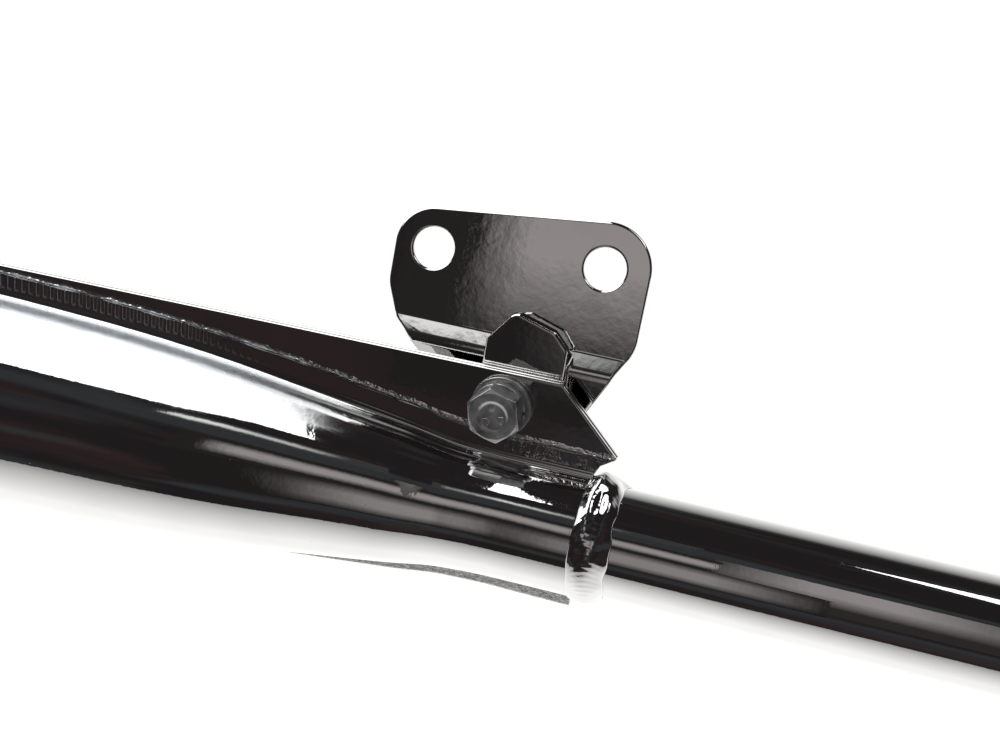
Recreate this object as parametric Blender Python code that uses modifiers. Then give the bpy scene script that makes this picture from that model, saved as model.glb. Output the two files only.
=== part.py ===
"""Chrome motorcycle exhaust: header pipe, seam-welded two-shell muffler, bracket and silencer insert.

Metres, +Z up. X runs along the pipe and the muffler, with the header at +X and the tail at -X.
The two pressed half shells meet in the plane of X and Z, and -Y is the outer side of the machine.
The origin is the middle of the header flange's mating face. Most lengths along X are measured from
the weld that joins the neck to the header pipe, and heights from the pipe's axis.
"""

import math

import bmesh
import bpy
from mathutils import Matrix, Vector

MM = 0.001

# Clearances and stock
GAP = 0.3 * MM
SHEET = 1.3 * MM
PLATE = 3.0 * MM

# Header pipe
PIPE_RADIUS = 15.0 * MM
PIPE_WALL = 1.5 * MM
PIPE_IN_NECK = 14.0 * MM
PIPE_STRAIGHT = 150.0 * MM
BEND_RADIUS = 65.0 * MM
PIPE_RISE = 30.0 * MM
BEND_STEPS = 12
FLANGE_THICKNESS = 8.0 * MM
FLANGE_BOSS_RADIUS = 21.5 * MM
FLANGE_LUG_RADIUS = 8.0 * MM
STUD_SPACING = 50.0 * MM
STUD_HOLE_RADIUS = 3.4 * MM

# Pressed half shells: the body's radius at stations behind the weld, joined by a smooth curve
NECK_RADIUS = PIPE_RADIUS + GAP + SHEET
BODY_RADIUS = 31.5 * MM
TAIL_NECK_RADIUS = 15.6 * MM
NECK_END = -1.2 * MM
TAIL_END = -436.0 * MM
BODY_PROFILE = (
    (8 * MM, NECK_RADIUS),
    (-22 * MM, NECK_RADIUS),
    (-37 * MM, 17.3 * MM),
    (-52 * MM, 19.6 * MM),
    (-80 * MM, 23.4 * MM),
    (-108 * MM, 26.8 * MM),
    (-136 * MM, 28.9 * MM),
    (-168 * MM, 30.1 * MM),
    (-230 * MM, BODY_RADIUS),
    (-310 * MM, BODY_RADIUS),
    (-352 * MM, 30.6 * MM),
    (-386 * MM, 24.4 * MM),
    (-408 * MM, 18.2 * MM),
    (-420 * MM, TAIL_NECK_RADIUS),
    (TAIL_END, TAIL_NECK_RADIUS),
)
SHELL_STATIONS = (8, -10, -22, -31, -39, -50, -64, -80, -98, -118, -140, -168, -200, -230, -310)
SHELL_STATIONS += (-332, -352, -370, -386, -398, -408, -415, -422, -436)
ROOT_FILLET = 1.6 * MM
ARC_STEPS = 14
FILLET_STEPS = 2

# Seam flanges: a tall wedge above the neck, and a narrow lip everywhere else
WEDGE_FRONT_TOP = 41.3 * MM
WEDGE_TIP = (4.6 * MM, 23.6 * MM)
WEDGE_SLOPE = 0.0115
TOP_LIP = 7.5 * MM
LOWER_LIP_FRONT = 4.4 * MM
LOWER_LIP = 2.2 * MM
LOWER_LIP_LENGTH = 110.0 * MM
TAIL_LIP = 3.0 * MM
TAIL_LIP_LENGTH = 16.0 * MM

# Mounting ear, bracket and the bolt that they share
BOLT_AT = (-27.3 * MM, 31.9 * MM)
BOLT_RADIUS = 4.0 * MM
BOLT_ACROSS_FLATS = 13.0 * MM
BOLT_HEAD = 5.3 * MM
BOLT_TURN = math.radians(13)
NUT_HEIGHT = 6.5 * MM
WASHER_RADIUS = 8.0 * MM
WASHER_THICKNESS = 1.6 * MM
SPRING_WASHER_RADIUS = 7.0 * MM
SPRING_WASHER_THICKNESS = 2.0 * MM
FRAME_HOLE_RADIUS = 5.5 * MM
FRAME_HOLES = ((-55.1 * MM, 66.1 * MM), (-9.1 * MM, 69.7 * MM))
BRACKET_FOLDS = ((47.2 * MM, math.radians(-17)), (42.0 * MM, math.radians(34)))
BRACKET_FOLD_RADIUS = 4.0 * MM

# Muffler internals
DIFFUSER_RADIUS = PIPE_RADIUS - PIPE_WALL - GAP
BAFFLE_RIM = 7.0 * MM
BAFFLE_STATIONS = {"front_baffle": -150 * MM, "middle_baffle": -225 * MM, "rear_baffle": -300 * MM}
TRANSFER_RADIUS = 9.0 * MM
TRANSFER_OFFSET = 17.5 * MM

# Tail pipe and the silencer insert that draws out of it
TAIL_PIPE_RADIUS = 14.0 * MM
TAIL_PIPE_START = -392.0 * MM
TAIL_PIPE_END = -500.0 * MM
INSERT_RADIUS = TAIL_PIPE_RADIUS - SHEET - GAP
INSERT_TUBE_RADIUS = 7.0 * MM
INSERT_START = -378.0 * MM
SCREW_STATION = -489.0 * MM
SCREW_RADIUS = 2.5 * MM

WELD_X = -(PIPE_STRAIGHT + BEND_RADIUS)
AXIS_Z = -(BEND_RADIUS + PIPE_RISE)

SEGMENTS = 24


# ---------------------------------------------------------------- scene, collections, materials


def clear_scene():
    for obj in list(bpy.data.objects):
        bpy.data.objects.remove(obj)
    bpy.context.scene.unit_settings.scale_length = 1.0


def new_collection(name):
    collection = bpy.data.collections.new(name)
    bpy.context.scene.collection.children.link(collection)
    return collection


def new_material(name, colour, roughness, metallic=1.0):
    material = bpy.data.materials.new(name)
    material.use_nodes = True
    shader = material.node_tree.nodes["Principled BSDF"]
    shader.inputs["Base Color"].default_value = (*colour, 1.0)
    shader.inputs["Roughness"].default_value = roughness
    shader.inputs["Metallic"].default_value = metallic
    material.diffuse_color = (*colour, 1.0)
    return material


def own_material(base, part_name):
    """A sub-part's own copy of one of the base finishes."""
    material = base.copy()
    material.name = f"{part_name} {base.name}"
    return material


def empty_at(name, location, parent=None):
    empty = bpy.data.objects.new(name, None)
    empty.empty_display_size = 0.01
    empty.location = location
    empty.parent = parent
    parts.objects.link(empty)
    return empty


def place(obj, finish, parent, location=(0, 0, 0), rotation=(0, 0, 0)):
    """Adds a finished sub-part to the exhaust, under the empty that carries it."""
    obj.location = location
    obj.rotation_euler = rotation
    obj.parent = parent
    parts.objects.link(obj)
    obj.data.materials.append(own_material(finish, obj.name))
    return obj


def as_cutter(obj, parent, location=(0, 0, 0), rotation=(0, 0, 0)):
    obj.location = location
    obj.rotation_euler = rotation
    obj.parent = parent
    obj.hide_render = True
    obj.display_type = "WIRE"
    cutters.objects.link(obj)
    return obj


def boolean(obj, other, operation):
    modifier = obj.modifiers.new(other.name, "BOOLEAN")
    modifier.operation = operation
    modifier.solver = "EXACT"
    modifier.object = other


def round_shading(obj, degrees=35):
    for polygon in obj.data.polygons:
        polygon.use_smooth = True
    obj.data.set_sharp_from_angle(angle=math.radians(degrees))


# ---------------------------------------------------------------- shapes


def turned(name, profile, segments=SEGMENTS, closed=True):
    """A body turned about its own Z from (height, radius) points, given top to bottom outside."""
    mesh = bpy.data.meshes.new(name)
    edges = [(i, i + 1) for i in range(len(profile) - 1)]
    if closed:
        edges.append((len(profile) - 1, 0))
    mesh.from_pydata([(radius, 0, height) for height, radius in profile], edges, [])
    obj = bpy.data.objects.new(name, mesh)
    screw = obj.modifiers.new("Turn", "SCREW")
    screw.axis = "Z"
    screw.angle = math.tau
    screw.steps = segments
    screw.render_steps = segments
    screw.use_merge_vertices = True
    screw.merge_threshold = 0.00001
    screw.use_smooth_shade = True
    return obj


def tube(name, top, bottom, outer, inner, segments=SEGMENTS):
    return turned(name, ((top, outer), (bottom, outer), (bottom, inner), (top, inner)), segments)


def rod(name, top, bottom, radius, segments=SEGMENTS):
    profile = ((top, 0), (top, radius), (bottom, radius), (bottom, 0))
    return turned(name, profile, segments, closed=False)


def hexagon(name, across_flats, top, bottom):
    """A hexagonal prism along Z."""
    mesh = bpy.data.meshes.new(name)
    work = bmesh.new()
    corner_radius = across_flats / math.sqrt(3)
    bmesh.ops.create_cone(
        work,
        cap_ends=True,
        segments=6,
        radius1=corner_radius,
        radius2=corner_radius,
        depth=top - bottom,
        matrix=Matrix.Translation((0, 0, (top + bottom) / 2)),
    )
    work.to_mesh(mesh)
    work.free()
    return bpy.data.objects.new(name, mesh)


def drill_row(name, radius, half_length, stations, angle_step):
    """Round cutters across the Z axis, one at each station, each turned on from the one before."""
    mesh = bpy.data.meshes.new(name)
    work = bmesh.new()
    across = Matrix.Rotation(math.pi / 2, 4, "X")
    for index, station in enumerate(stations):
        turn = Matrix.Rotation(angle_step * index, 4, "Z")
        bmesh.ops.create_cone(
            work,
            cap_ends=True,
            segments=8,
            radius1=radius,
            radius2=radius,
            depth=2 * half_length,
            matrix=Matrix.Translation((0, 0, station)) @ turn @ across,
        )
    work.to_mesh(mesh)
    work.free()
    return bpy.data.objects.new(name, mesh)


def block(name, size):
    mesh = bpy.data.meshes.new(name)
    work = bmesh.new()
    bmesh.ops.create_cube(work, size=1, matrix=Matrix.Diagonal((*size, 1)))
    work.to_mesh(mesh)
    work.free()
    return bpy.data.objects.new(name, mesh)


def belt_outline(pulleys, degrees_per_step=12):
    """The outline of a belt pulled round circles (x, y, radius), given anticlockwise."""
    directions = []
    for (x0, y0, r0), (x1, y1, r1) in zip(pulleys, pulleys[1:] + pulleys[:1]):
        heading = math.atan2(y1 - y0, x1 - x0)
        lean = math.asin((r0 - r1) / math.hypot(x1 - x0, y1 - y0))
        directions.append(heading - math.pi / 2 + lean)
    points = []
    for index, (x, y, radius) in enumerate(pulleys):
        start = directions[index - 1]
        sweep = (directions[index] - start) % math.tau
        steps = max(2, round(math.degrees(sweep) / degrees_per_step))
        for step in range(steps + 1):
            angle = start + sweep * step / steps
            points.append((x + radius * math.cos(angle), y + radius * math.sin(angle)))
    return points


def circle_outline(centre, radius, steps=20):
    return [
        (
            centre[0] + radius * math.cos(math.tau * step / steps),
            centre[1] + radius * math.sin(math.tau * step / steps),
        )
        for step in range(steps)
    ]


def mesh_from_curve(name, curve):
    """A curve's evaluated shape as a mesh object, with its seams closed."""
    source = bpy.data.objects.new(name + " curve", curve)
    parts.objects.link(source)
    graph = bpy.context.evaluated_depsgraph_get()
    mesh = bpy.data.meshes.new_from_object(source.evaluated_get(graph))
    bpy.data.objects.remove(source)
    mesh.name = name
    work = bmesh.new()
    work.from_mesh(mesh)
    bmesh.ops.remove_doubles(work, verts=work.verts, dist=0.000002)
    bmesh.ops.recalc_face_normals(work, faces=work.faces)
    work.to_mesh(mesh)
    work.free()
    return bpy.data.objects.new(name, mesh)


def flat_plate(name, outlines, thickness, edge_break=0.3 * MM):
    """A plate in its own XY plane: the first outline is its edge and the others are holes."""
    curve = bpy.data.curves.new(name, "CURVE")
    curve.dimensions = "2D"
    curve.fill_mode = "BOTH"
    curve.extrude = thickness / 2 - edge_break
    curve.bevel_depth = edge_break
    curve.bevel_resolution = 0
    curve.offset = -edge_break
    for outline in outlines:
        spline = curve.splines.new("POLY")
        spline.points.add(len(outline) - 1)
        for point, (x, y) in zip(spline.points, outline):
            point.co = (x, y, 0, 1)
        spline.use_cyclic_u = True
    obj = mesh_from_curve(name, curve)
    round_shading(obj, 30)
    return obj


def solid_pipe(name, path, radius, segments=20):
    """A round solid swept along a path, with its ends closed."""
    curve = bpy.data.curves.new(name, "CURVE")
    curve.dimensions = "3D"
    curve.bevel_depth = radius
    curve.bevel_resolution = segments // 2 - 2
    curve.use_fill_caps = True
    spline = curve.splines.new("POLY")
    spline.points.add(len(path) - 1)
    for point, co in zip(spline.points, path):
        point.co = (*co, 1)
    return mesh_from_curve(name, curve)


def loft(name, rings):
    """A closed solid through rings that all have the same number of points."""
    mesh = bpy.data.meshes.new(name)
    count = len(rings[0])
    faces = []
    for row in range(len(rings) - 1):
        for column in range(count):
            after = (column + 1) % count
            here, there = row * count, (row + 1) * count
            faces.append((here + column, here + after, there + after, there + column))
    faces.append(tuple(reversed(range(count))))
    faces.append(tuple(range((len(rings) - 1) * count, len(rings) * count)))
    mesh.from_pydata([point for ring in rings for point in ring], [], faces)
    work = bmesh.new()
    work.from_mesh(mesh)
    bmesh.ops.recalc_face_normals(work, faces=work.faces)
    work.to_mesh(mesh)
    work.free()
    obj = bpy.data.objects.new(name, mesh)
    round_shading(obj)
    return obj


# ---------------------------------------------------------------- the muffler's outline


def slope_at(index):
    """The body profile's slope at one of its points: zero where the radius peaks or stays level."""
    (x0, r0), (x1, r1), (x2, r2) = BODY_PROFILE[index - 1 : index + 2]
    before, after = (r1 - r0) / (x1 - x0), (r2 - r1) / (x2 - x1)
    if before * after <= 0:
        return 0.0
    return 2 * before * after / (before + after)


def body_radius(x):
    """The body's outer radius at a station, by a cubic that never overshoots its points."""
    last = len(BODY_PROFILE) - 1
    for index in range(last):
        (x0, r0), (x1, r1) = BODY_PROFILE[index], BODY_PROFILE[index + 1]
        if x >= x1:
            break
    s0 = slope_at(index) if index else 0.0
    s1 = slope_at(index + 1) if index + 1 < last else 0.0
    step = x1 - x0
    t = (x - x0) / step
    rise = (2 * t**3 - 3 * t**2 + 1) * r0 + (3 * t**2 - 2 * t**3) * r1
    return rise + step * ((t**3 - 2 * t**2 + t) * s0 + (t**3 - t**2) * s1)


def smooth_step(value):
    value = min(1.0, max(0.0, value))
    return value * value * (3 - 2 * value)


def top_edge(x):
    """The height of the upper seam flange's edge: a straight wedge in front, a lip behind it."""
    wedge = WEDGE_FRONT_TOP + WEDGE_SLOPE * (x - WEDGE_TIP[0])
    to_tail = smooth_step((TAIL_END + TAIL_LIP_LENGTH - x) / TAIL_LIP_LENGTH)
    lip = TOP_LIP + (TAIL_LIP - TOP_LIP) * to_tail
    return max(wedge, body_radius(x) + lip) if x > BODY_PROFILE[8][0] else body_radius(x) + lip


def bottom_edge(x):
    """The depth of the lower seam flange's edge, which narrows behind the neck."""
    narrowing = smooth_step(-x / LOWER_LIP_LENGTH)
    return -(body_radius(x) + LOWER_LIP_FRONT + (LOWER_LIP - LOWER_LIP_FRONT) * narrowing)


def shell_ring(x, side):
    """One section of a half shell: flange, root fillet, half round, root fillet, flange, and back."""
    outer = body_radius(x)
    face = GAP / 2
    centre_y = face + SHEET + ROOT_FILLET
    centre_z = math.sqrt((outer + ROOT_FILLET) ** 2 - centre_y**2)
    lean = math.atan2(centre_z, centre_y)

    def surface(depth, fillet, radius):
        points = [(depth, top_edge(x))]
        for step in range(FILLET_STEPS):
            angle = math.pi + lean * step / FILLET_STEPS
            y = centre_y + fillet * math.cos(angle)
            points.append((y, centre_z + fillet * math.sin(angle)))
        for step in range(ARC_STEPS + 1):
            angle = lean - 2 * lean * step / ARC_STEPS
            points.append((radius * math.cos(angle), radius * math.sin(angle)))
        for step in range(FILLET_STEPS - 1, -1, -1):
            angle = math.pi + lean * step / FILLET_STEPS
            y = centre_y + fillet * math.cos(angle)
            points.append((y, -centre_z - fillet * math.sin(angle)))
        points.append((depth, bottom_edge(x)))
        return points

    outside = surface(face + SHEET, ROOT_FILLET, outer)
    inside = surface(face, ROOT_FILLET + SHEET, outer - SHEET)
    return [(x, side * y, z) for y, z in outside + inside[::-1]]


# ---------------------------------------------------------------- sub-parts


ALONG_X = (0, math.pi / 2, 0)
FACING_OUT = (math.pi / 2, 0, 0)


def make_half_shells(frame, chrome):
    """Two pressed shells, trimmed in front to the slanted wedge, its tip and the neck's mouth."""
    tip_x, tip_z = WEDGE_TIP
    far = 40 * MM
    reach = 0.06
    outline = [
        (tip_x - far, tip_z + far),
        (tip_x, tip_z),
        (NECK_END + 1.7 * MM, NECK_RADIUS + 4.2 * MM),
        (NECK_END, NECK_RADIUS + 0.6 * MM),
        (NECK_END, -NECK_RADIUS - 0.8 * MM),
        (NECK_END - 0.6 * MM, -NECK_RADIUS - 2.4 * MM),
        (NECK_END - 1.4 * MM, -reach),
        (reach, -reach),
        (reach, reach + far),
        (tip_x - far, reach + far),
    ]
    trim = flat_plate("front trim", [outline], 0.2, edge_break=0)
    as_cutter(trim, frame, rotation=FACING_OUT)
    hole = rod("flange bolt hole", 0.02, -0.02, BOLT_RADIUS + GAP, 24)
    as_cutter(hole, frame, (BOLT_AT[0], 0, BOLT_AT[1]), FACING_OUT)
    for name, side in (("outer_half_shell", -1), ("inner_half_shell", 1)):
        rings = [shell_ring(station * MM, side) for station in SHELL_STATIONS]
        shell = place(loft(name, rings), chrome, frame)
        boolean(shell, trim, "DIFFERENCE")
        boolean(shell, hole, "DIFFERENCE")


def header_path(lead_in, lead_out):
    """The pipe's centre line from inside the neck, forward, and up round the bend to the flange."""
    points = [(-PIPE_IN_NECK - lead_in, 0, 0), (PIPE_STRAIGHT, 0, 0)]
    for step in range(1, BEND_STEPS + 1):
        angle = math.pi / 2 * step / BEND_STEPS
        x = PIPE_STRAIGHT + BEND_RADIUS * math.sin(angle)
        points.append((x, 0, BEND_RADIUS * (1 - math.cos(angle))))
    top = BEND_RADIUS + PIPE_RISE - 0.5 * MM + lead_out
    points.append((PIPE_STRAIGHT + BEND_RADIUS, 0, top))
    return points


def make_header(frame, chrome, steel):
    pipe = solid_pipe("header_pipe", header_path(0, 0), PIPE_RADIUS)
    round_shading(pipe, 40)
    bore_path = header_path(5 * MM, 5 * MM)
    bore = as_cutter(solid_pipe("header bore", bore_path, PIPE_RADIUS - PIPE_WALL), frame)
    place(pipe, chrome, frame)
    boolean(pipe, bore, "DIFFERENCE")

    neck_weld = turned(
        "neck_weld",
        (
            (8.6 * MM, PIPE_RADIUS + GAP),
            (7.4 * MM, PIPE_RADIUS + 1.3 * MM),
            (5.2 * MM, PIPE_RADIUS + 2.5 * MM),
            (2.4 * MM, PIPE_RADIUS + 2.9 * MM),
            (0.2 * MM, PIPE_RADIUS + 2.5 * MM),
            (NECK_END + GAP, PIPE_RADIUS + 1.8 * MM),
            (NECK_END + GAP, PIPE_RADIUS + GAP),
        ),
    )
    place(neck_weld, chrome, frame, rotation=ALONG_X)

    lug = STUD_SPACING / 2
    pulleys = [
        (FLANGE_BOSS_RADIUS - 15 * MM, 0, 15 * MM),
        (0, lug, FLANGE_LUG_RADIUS),
        (15 * MM - FLANGE_BOSS_RADIUS, 0, 15 * MM),
        (0, -lug, FLANGE_LUG_RADIUS),
    ]
    outlines = [
        belt_outline(pulleys),
        circle_outline((0, 0), PIPE_RADIUS + GAP, 28),
        circle_outline((0, lug), STUD_HOLE_RADIUS, 16),
        circle_outline((0, -lug), STUD_HOLE_RADIUS, 16),
    ]
    flange = flat_plate("header_flange", outlines, FLANGE_THICKNESS)
    middle = (-WELD_X, 0, -AXIS_Z - FLANGE_THICKNESS / 2)
    place(flange, steel, frame, middle)

    under_flange = -AXIS_Z - FLANGE_THICKNESS - GAP
    flange_weld = turned(
        "header_flange_weld",
        (
            (0, PIPE_RADIUS + 3.6 * MM),
            (-1.6 * MM, PIPE_RADIUS + 2.6 * MM),
            (-3.6 * MM, PIPE_RADIUS + 0.8 * MM),
            (-3.8 * MM, PIPE_RADIUS + GAP),
            (0, PIPE_RADIUS + GAP),
        ),
    )
    place(flange_weld, steel, frame, (-WELD_X, 0, under_flange))


def make_ear(frame, chrome):
    """A doubler plate spot-welded behind the wedge, standing up above it as a blunt point."""
    corner = 2.0 * MM
    pulleys = [
        (-34.0 * MM, 22.5 * MM, corner),
        (-15.8 * MM, 22.5 * MM, corner),
        (-15.0 * MM, 48.0 * MM, corner),
        (-18.0 * MM, 51.2 * MM, corner),
        (-26.9 * MM, 52.8 * MM, 3.0 * MM),
        (-32.8 * MM, 46.8 * MM, corner),
    ]
    outlines = [belt_outline(pulleys, 20), circle_outline(BOLT_AT, BOLT_RADIUS + GAP)]
    ear = flat_plate("mounting_ear", outlines, PLATE)
    place(ear, chrome, frame, (0, ear_middle(), 0), FACING_OUT)


def ear_middle():
    return GAP / 2 + SHEET + GAP + PLATE / 2


def bracket_middle():
    return ear_middle() + PLATE + GAP


def make_bracket(pivot, chrome):
    """The plate that bolts to the machine: upright at the bolt, set back by a joggle, and leaning."""
    x, z = BOLT_AT
    left_hole, right_hole = ((hole_x - x, hole_z - z) for hole_x, hole_z in FRAME_HOLES)
    pulleys = [
        (0, 0, 12.6 * MM),
        (10.8 * MM, -2.4 * MM, 7.9 * MM),
        (right_hole[0], right_hole[1] - 16.2 * MM, 12.3 * MM),
        (*right_hole, 12.3 * MM),
        (*left_hole, 10.8 * MM),
        (left_hole[0] + 0.2 * MM, left_hole[1] - 8.6 * MM, 10.8 * MM),
        (left_hole[0] - 2.5 * MM, left_hole[1] - 17.5 * MM, 4.8 * MM),
    ]
    outlines = [
        belt_outline(pulleys),
        circle_outline((0, 0), BOLT_RADIUS + GAP),
        circle_outline(left_hole, FRAME_HOLE_RADIUS, 24),
        circle_outline(right_hole, FRAME_HOLE_RADIUS, 24),
    ]
    bracket = flat_plate("mounting_bracket", outlines, PLATE)
    for height, lean in BRACKET_FOLDS:
        fold_plate(bracket.data, height - z, lean, BRACKET_FOLD_RADIUS)
    place(bracket, chrome, pivot, rotation=FACING_OUT)


def fold_plate(mesh, height, lean, fold_radius):
    """Folds what lies above this height towards -Z for a positive lean and +Z for a negative one."""
    side = math.copysign(1, lean)
    arc = fold_radius * abs(lean)
    start = height - arc / 2
    work = bmesh.new()
    work.from_mesh(mesh)
    for step in range(4):
        cut = Vector((0, start + arc * step / 3, 0))
        everything = work.verts[:] + work.edges[:] + work.faces[:]
        bmesh.ops.bisect_plane(work, geom=everything, plane_co=cut, plane_no=(0, 1, 0))
    for vertex in work.verts:
        beyond = vertex.co.y - start
        if beyond <= 0:
            continue
        turn = min(beyond, arc) / fold_radius
        straight = max(0.0, beyond - arc)
        radius = fold_radius + side * vertex.co.z
        vertex.co.y = start + radius * math.sin(turn) + straight * math.cos(turn)
        vertex.co.z = side * (radius * math.cos(turn) - fold_radius - straight * math.sin(turn))
    work.to_mesh(mesh)
    work.free()


def hex_fastener(name, height, chamfered_ends):
    """A hexagon along Z from 0 up, with the corners of its ends turned off."""
    prism = hexagon(name, BOLT_ACROSS_FLATS, height, 0)
    flat = BOLT_ACROSS_FLATS / 2
    corner = BOLT_ACROSS_FLATS / math.sqrt(3)
    drop = (corner - flat * 0.96) * math.tan(math.radians(30))
    profile = [(height, 0), (height, flat * 0.96), (height - drop, corner + 0.1 * MM)]
    if chamfered_ends == 2:
        profile += [(drop, corner + 0.1 * MM), (0, flat * 0.96), (0, 0)]
    else:
        profile += [(0, corner + 0.1 * MM), (0, 0)]
    return prism, turned(name + " chamfer", profile, closed=False)


def make_bolt_set(frame, zinc):
    x, z = BOLT_AT
    washer_back = -(GAP / 2 + SHEET + GAP)
    spring_back = washer_back - WASHER_THICKNESS - GAP
    head_back = spring_back - SPRING_WASHER_THICKNESS - GAP
    bracket_back = bracket_middle() + PLATE / 2
    nut_washer_at = bracket_back + GAP
    nut_at = nut_washer_at + WASHER_THICKNESS + GAP
    bore = BOLT_RADIUS + GAP

    washer = tube("bolt_washer", WASHER_THICKNESS, 0, WASHER_RADIUS, bore)
    place(washer, zinc, frame, (x, washer_back, z), FACING_OUT)

    spring = tube("bolt_spring_washer", SPRING_WASHER_THICKNESS, 0, SPRING_WASHER_RADIUS, bore)
    place(spring, zinc, frame, (x, spring_back, z), FACING_OUT)
    split = block("spring washer split", (8 * MM, 0.7 * MM, 6 * MM))
    slant = (FACING_OUT[0], math.radians(25), 0)
    as_cutter(split, frame, (x + SPRING_WASHER_RADIUS, spring_back - 1 * MM, z), slant)
    boolean(spring, split, "DIFFERENCE")

    head, chamfer = hex_fastener("bracket_bolt", BOLT_HEAD, 1)
    turn = (FACING_OUT[0], -BOLT_TURN + math.pi / 6, 0)
    place(head, zinc, frame, (x, head_back, z), turn)
    as_cutter(chamfer, frame, (x, head_back, z), turn)
    shank_end = -(nut_at - head_back) - NUT_HEIGHT - 4 * MM
    shank = turned(
        "bolt shank",
        (
            (1 * MM, 0),
            (1 * MM, BOLT_RADIUS),
            (shank_end + 0.8 * MM, BOLT_RADIUS),
            (shank_end, BOLT_RADIUS - 0.8 * MM),
            (shank_end, 0),
        ),
        24,
        closed=False,
    )
    as_cutter(shank, frame, (x, head_back, z), turn)
    dish = turned(
        "bolt head dish",
        (
            (BOLT_HEAD + 1 * MM, 0),
            (BOLT_HEAD + 1 * MM, 4.6 * MM),
            (BOLT_HEAD, 4.3 * MM),
            (BOLT_HEAD - 0.5 * MM, 3.8 * MM),
            (BOLT_HEAD - 0.5 * MM, 0),
        ),
        closed=False,
    )
    as_cutter(dish, frame, (x, head_back, z), turn)
    boolean(head, chamfer, "INTERSECT")
    boolean(head, dish, "DIFFERENCE")
    boolean(head, shank, "UNION")

    nut_washer = tube("nut_washer", WASHER_THICKNESS, 0, WASHER_RADIUS, bore)
    place(nut_washer, zinc, frame, (x, nut_washer_at + WASHER_THICKNESS, z), FACING_OUT)

    nut, nut_chamfer = hex_fastener("bracket_nut", NUT_HEIGHT, 2)
    nut_turn = (FACING_OUT[0], math.radians(8), 0)
    place(nut, zinc, frame, (x, nut_at + NUT_HEIGHT, z), nut_turn)
    as_cutter(nut_chamfer, frame, (x, nut_at + NUT_HEIGHT, z), nut_turn)
    thread = rod("nut thread", NUT_HEIGHT + 1 * MM, -1 * MM, bore, 24)
    as_cutter(thread, frame, (x, nut_at + NUT_HEIGHT, z), nut_turn)
    boolean(nut, nut_chamfer, "INTERSECT")
    boolean(nut, thread, "DIFFERENCE")


def make_diffuser(frame, steel):
    """The perforated inlet tube, held in the header pipe's end and in the front baffle."""
    front, rear = -2 * MM, -160 * MM
    diffuser = tube("inlet_diffuser", front, rear, DIFFUSER_RADIUS, DIFFUSER_RADIUS - SHEET, 24)
    place(diffuser, steel, frame, rotation=ALONG_X)
    stations = [-40 * MM - 10.5 * MM * index for index in range(9)]
    holes = drill_row("diffuser holes", 2.5 * MM, 20 * MM, stations, math.radians(60))
    as_cutter(holes, frame, rotation=ALONG_X)
    boolean(diffuser, holes, "DIFFERENCE")


def make_baffles(frame, steel):
    """Three pressed discs with turned rims, each pierced where a tube passes through it."""
    passages = {
        "front_baffle": ((0, DIFFUSER_RADIUS), (TRANSFER_OFFSET, 3.5 * MM)),
        "middle_baffle": ((TRANSFER_OFFSET, TRANSFER_RADIUS),),
        "rear_baffle": ((-TRANSFER_OFFSET, TRANSFER_RADIUS),),
    }
    for name, station in BAFFLE_STATIONS.items():
        narrowest = min(body_radius(station), body_radius(station + BAFFLE_RIM))
        rim = narrowest - SHEET - GAP
        baffle = turned(
            name,
            (
                (BAFFLE_RIM, rim - SHEET),
                (BAFFLE_RIM, rim),
                (1.5 * MM, rim),
                (0, rim - 1.5 * MM),
                (0, 0),
                (SHEET, 0),
                (SHEET, rim - 2 * MM),
                (2.2 * MM, rim - SHEET),
            ),
            32,
        )
        place(baffle, steel, frame, (station, 0, 0), ALONG_X)
        for index, (height, radius) in enumerate(passages[name]):
            hole = rod(f"{name} passage {index + 1}", 0.01, -0.01, radius + GAP, 28)
            as_cutter(hole, frame, (station, 0, height), ALONG_X)
            boolean(baffle, hole, "DIFFERENCE")
    for name, baffle_name, height in (
        ("front_transfer_tube", "middle_baffle", TRANSFER_OFFSET),
        ("rear_transfer_tube", "rear_baffle", -TRANSFER_OFFSET),
    ):
        transfer = tube(name, 34 * MM, -26 * MM, TRANSFER_RADIUS, TRANSFER_RADIUS - SHEET, 28)
        place(transfer, steel, frame, (BAFFLE_STATIONS[baffle_name], 0, height), ALONG_X)


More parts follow.
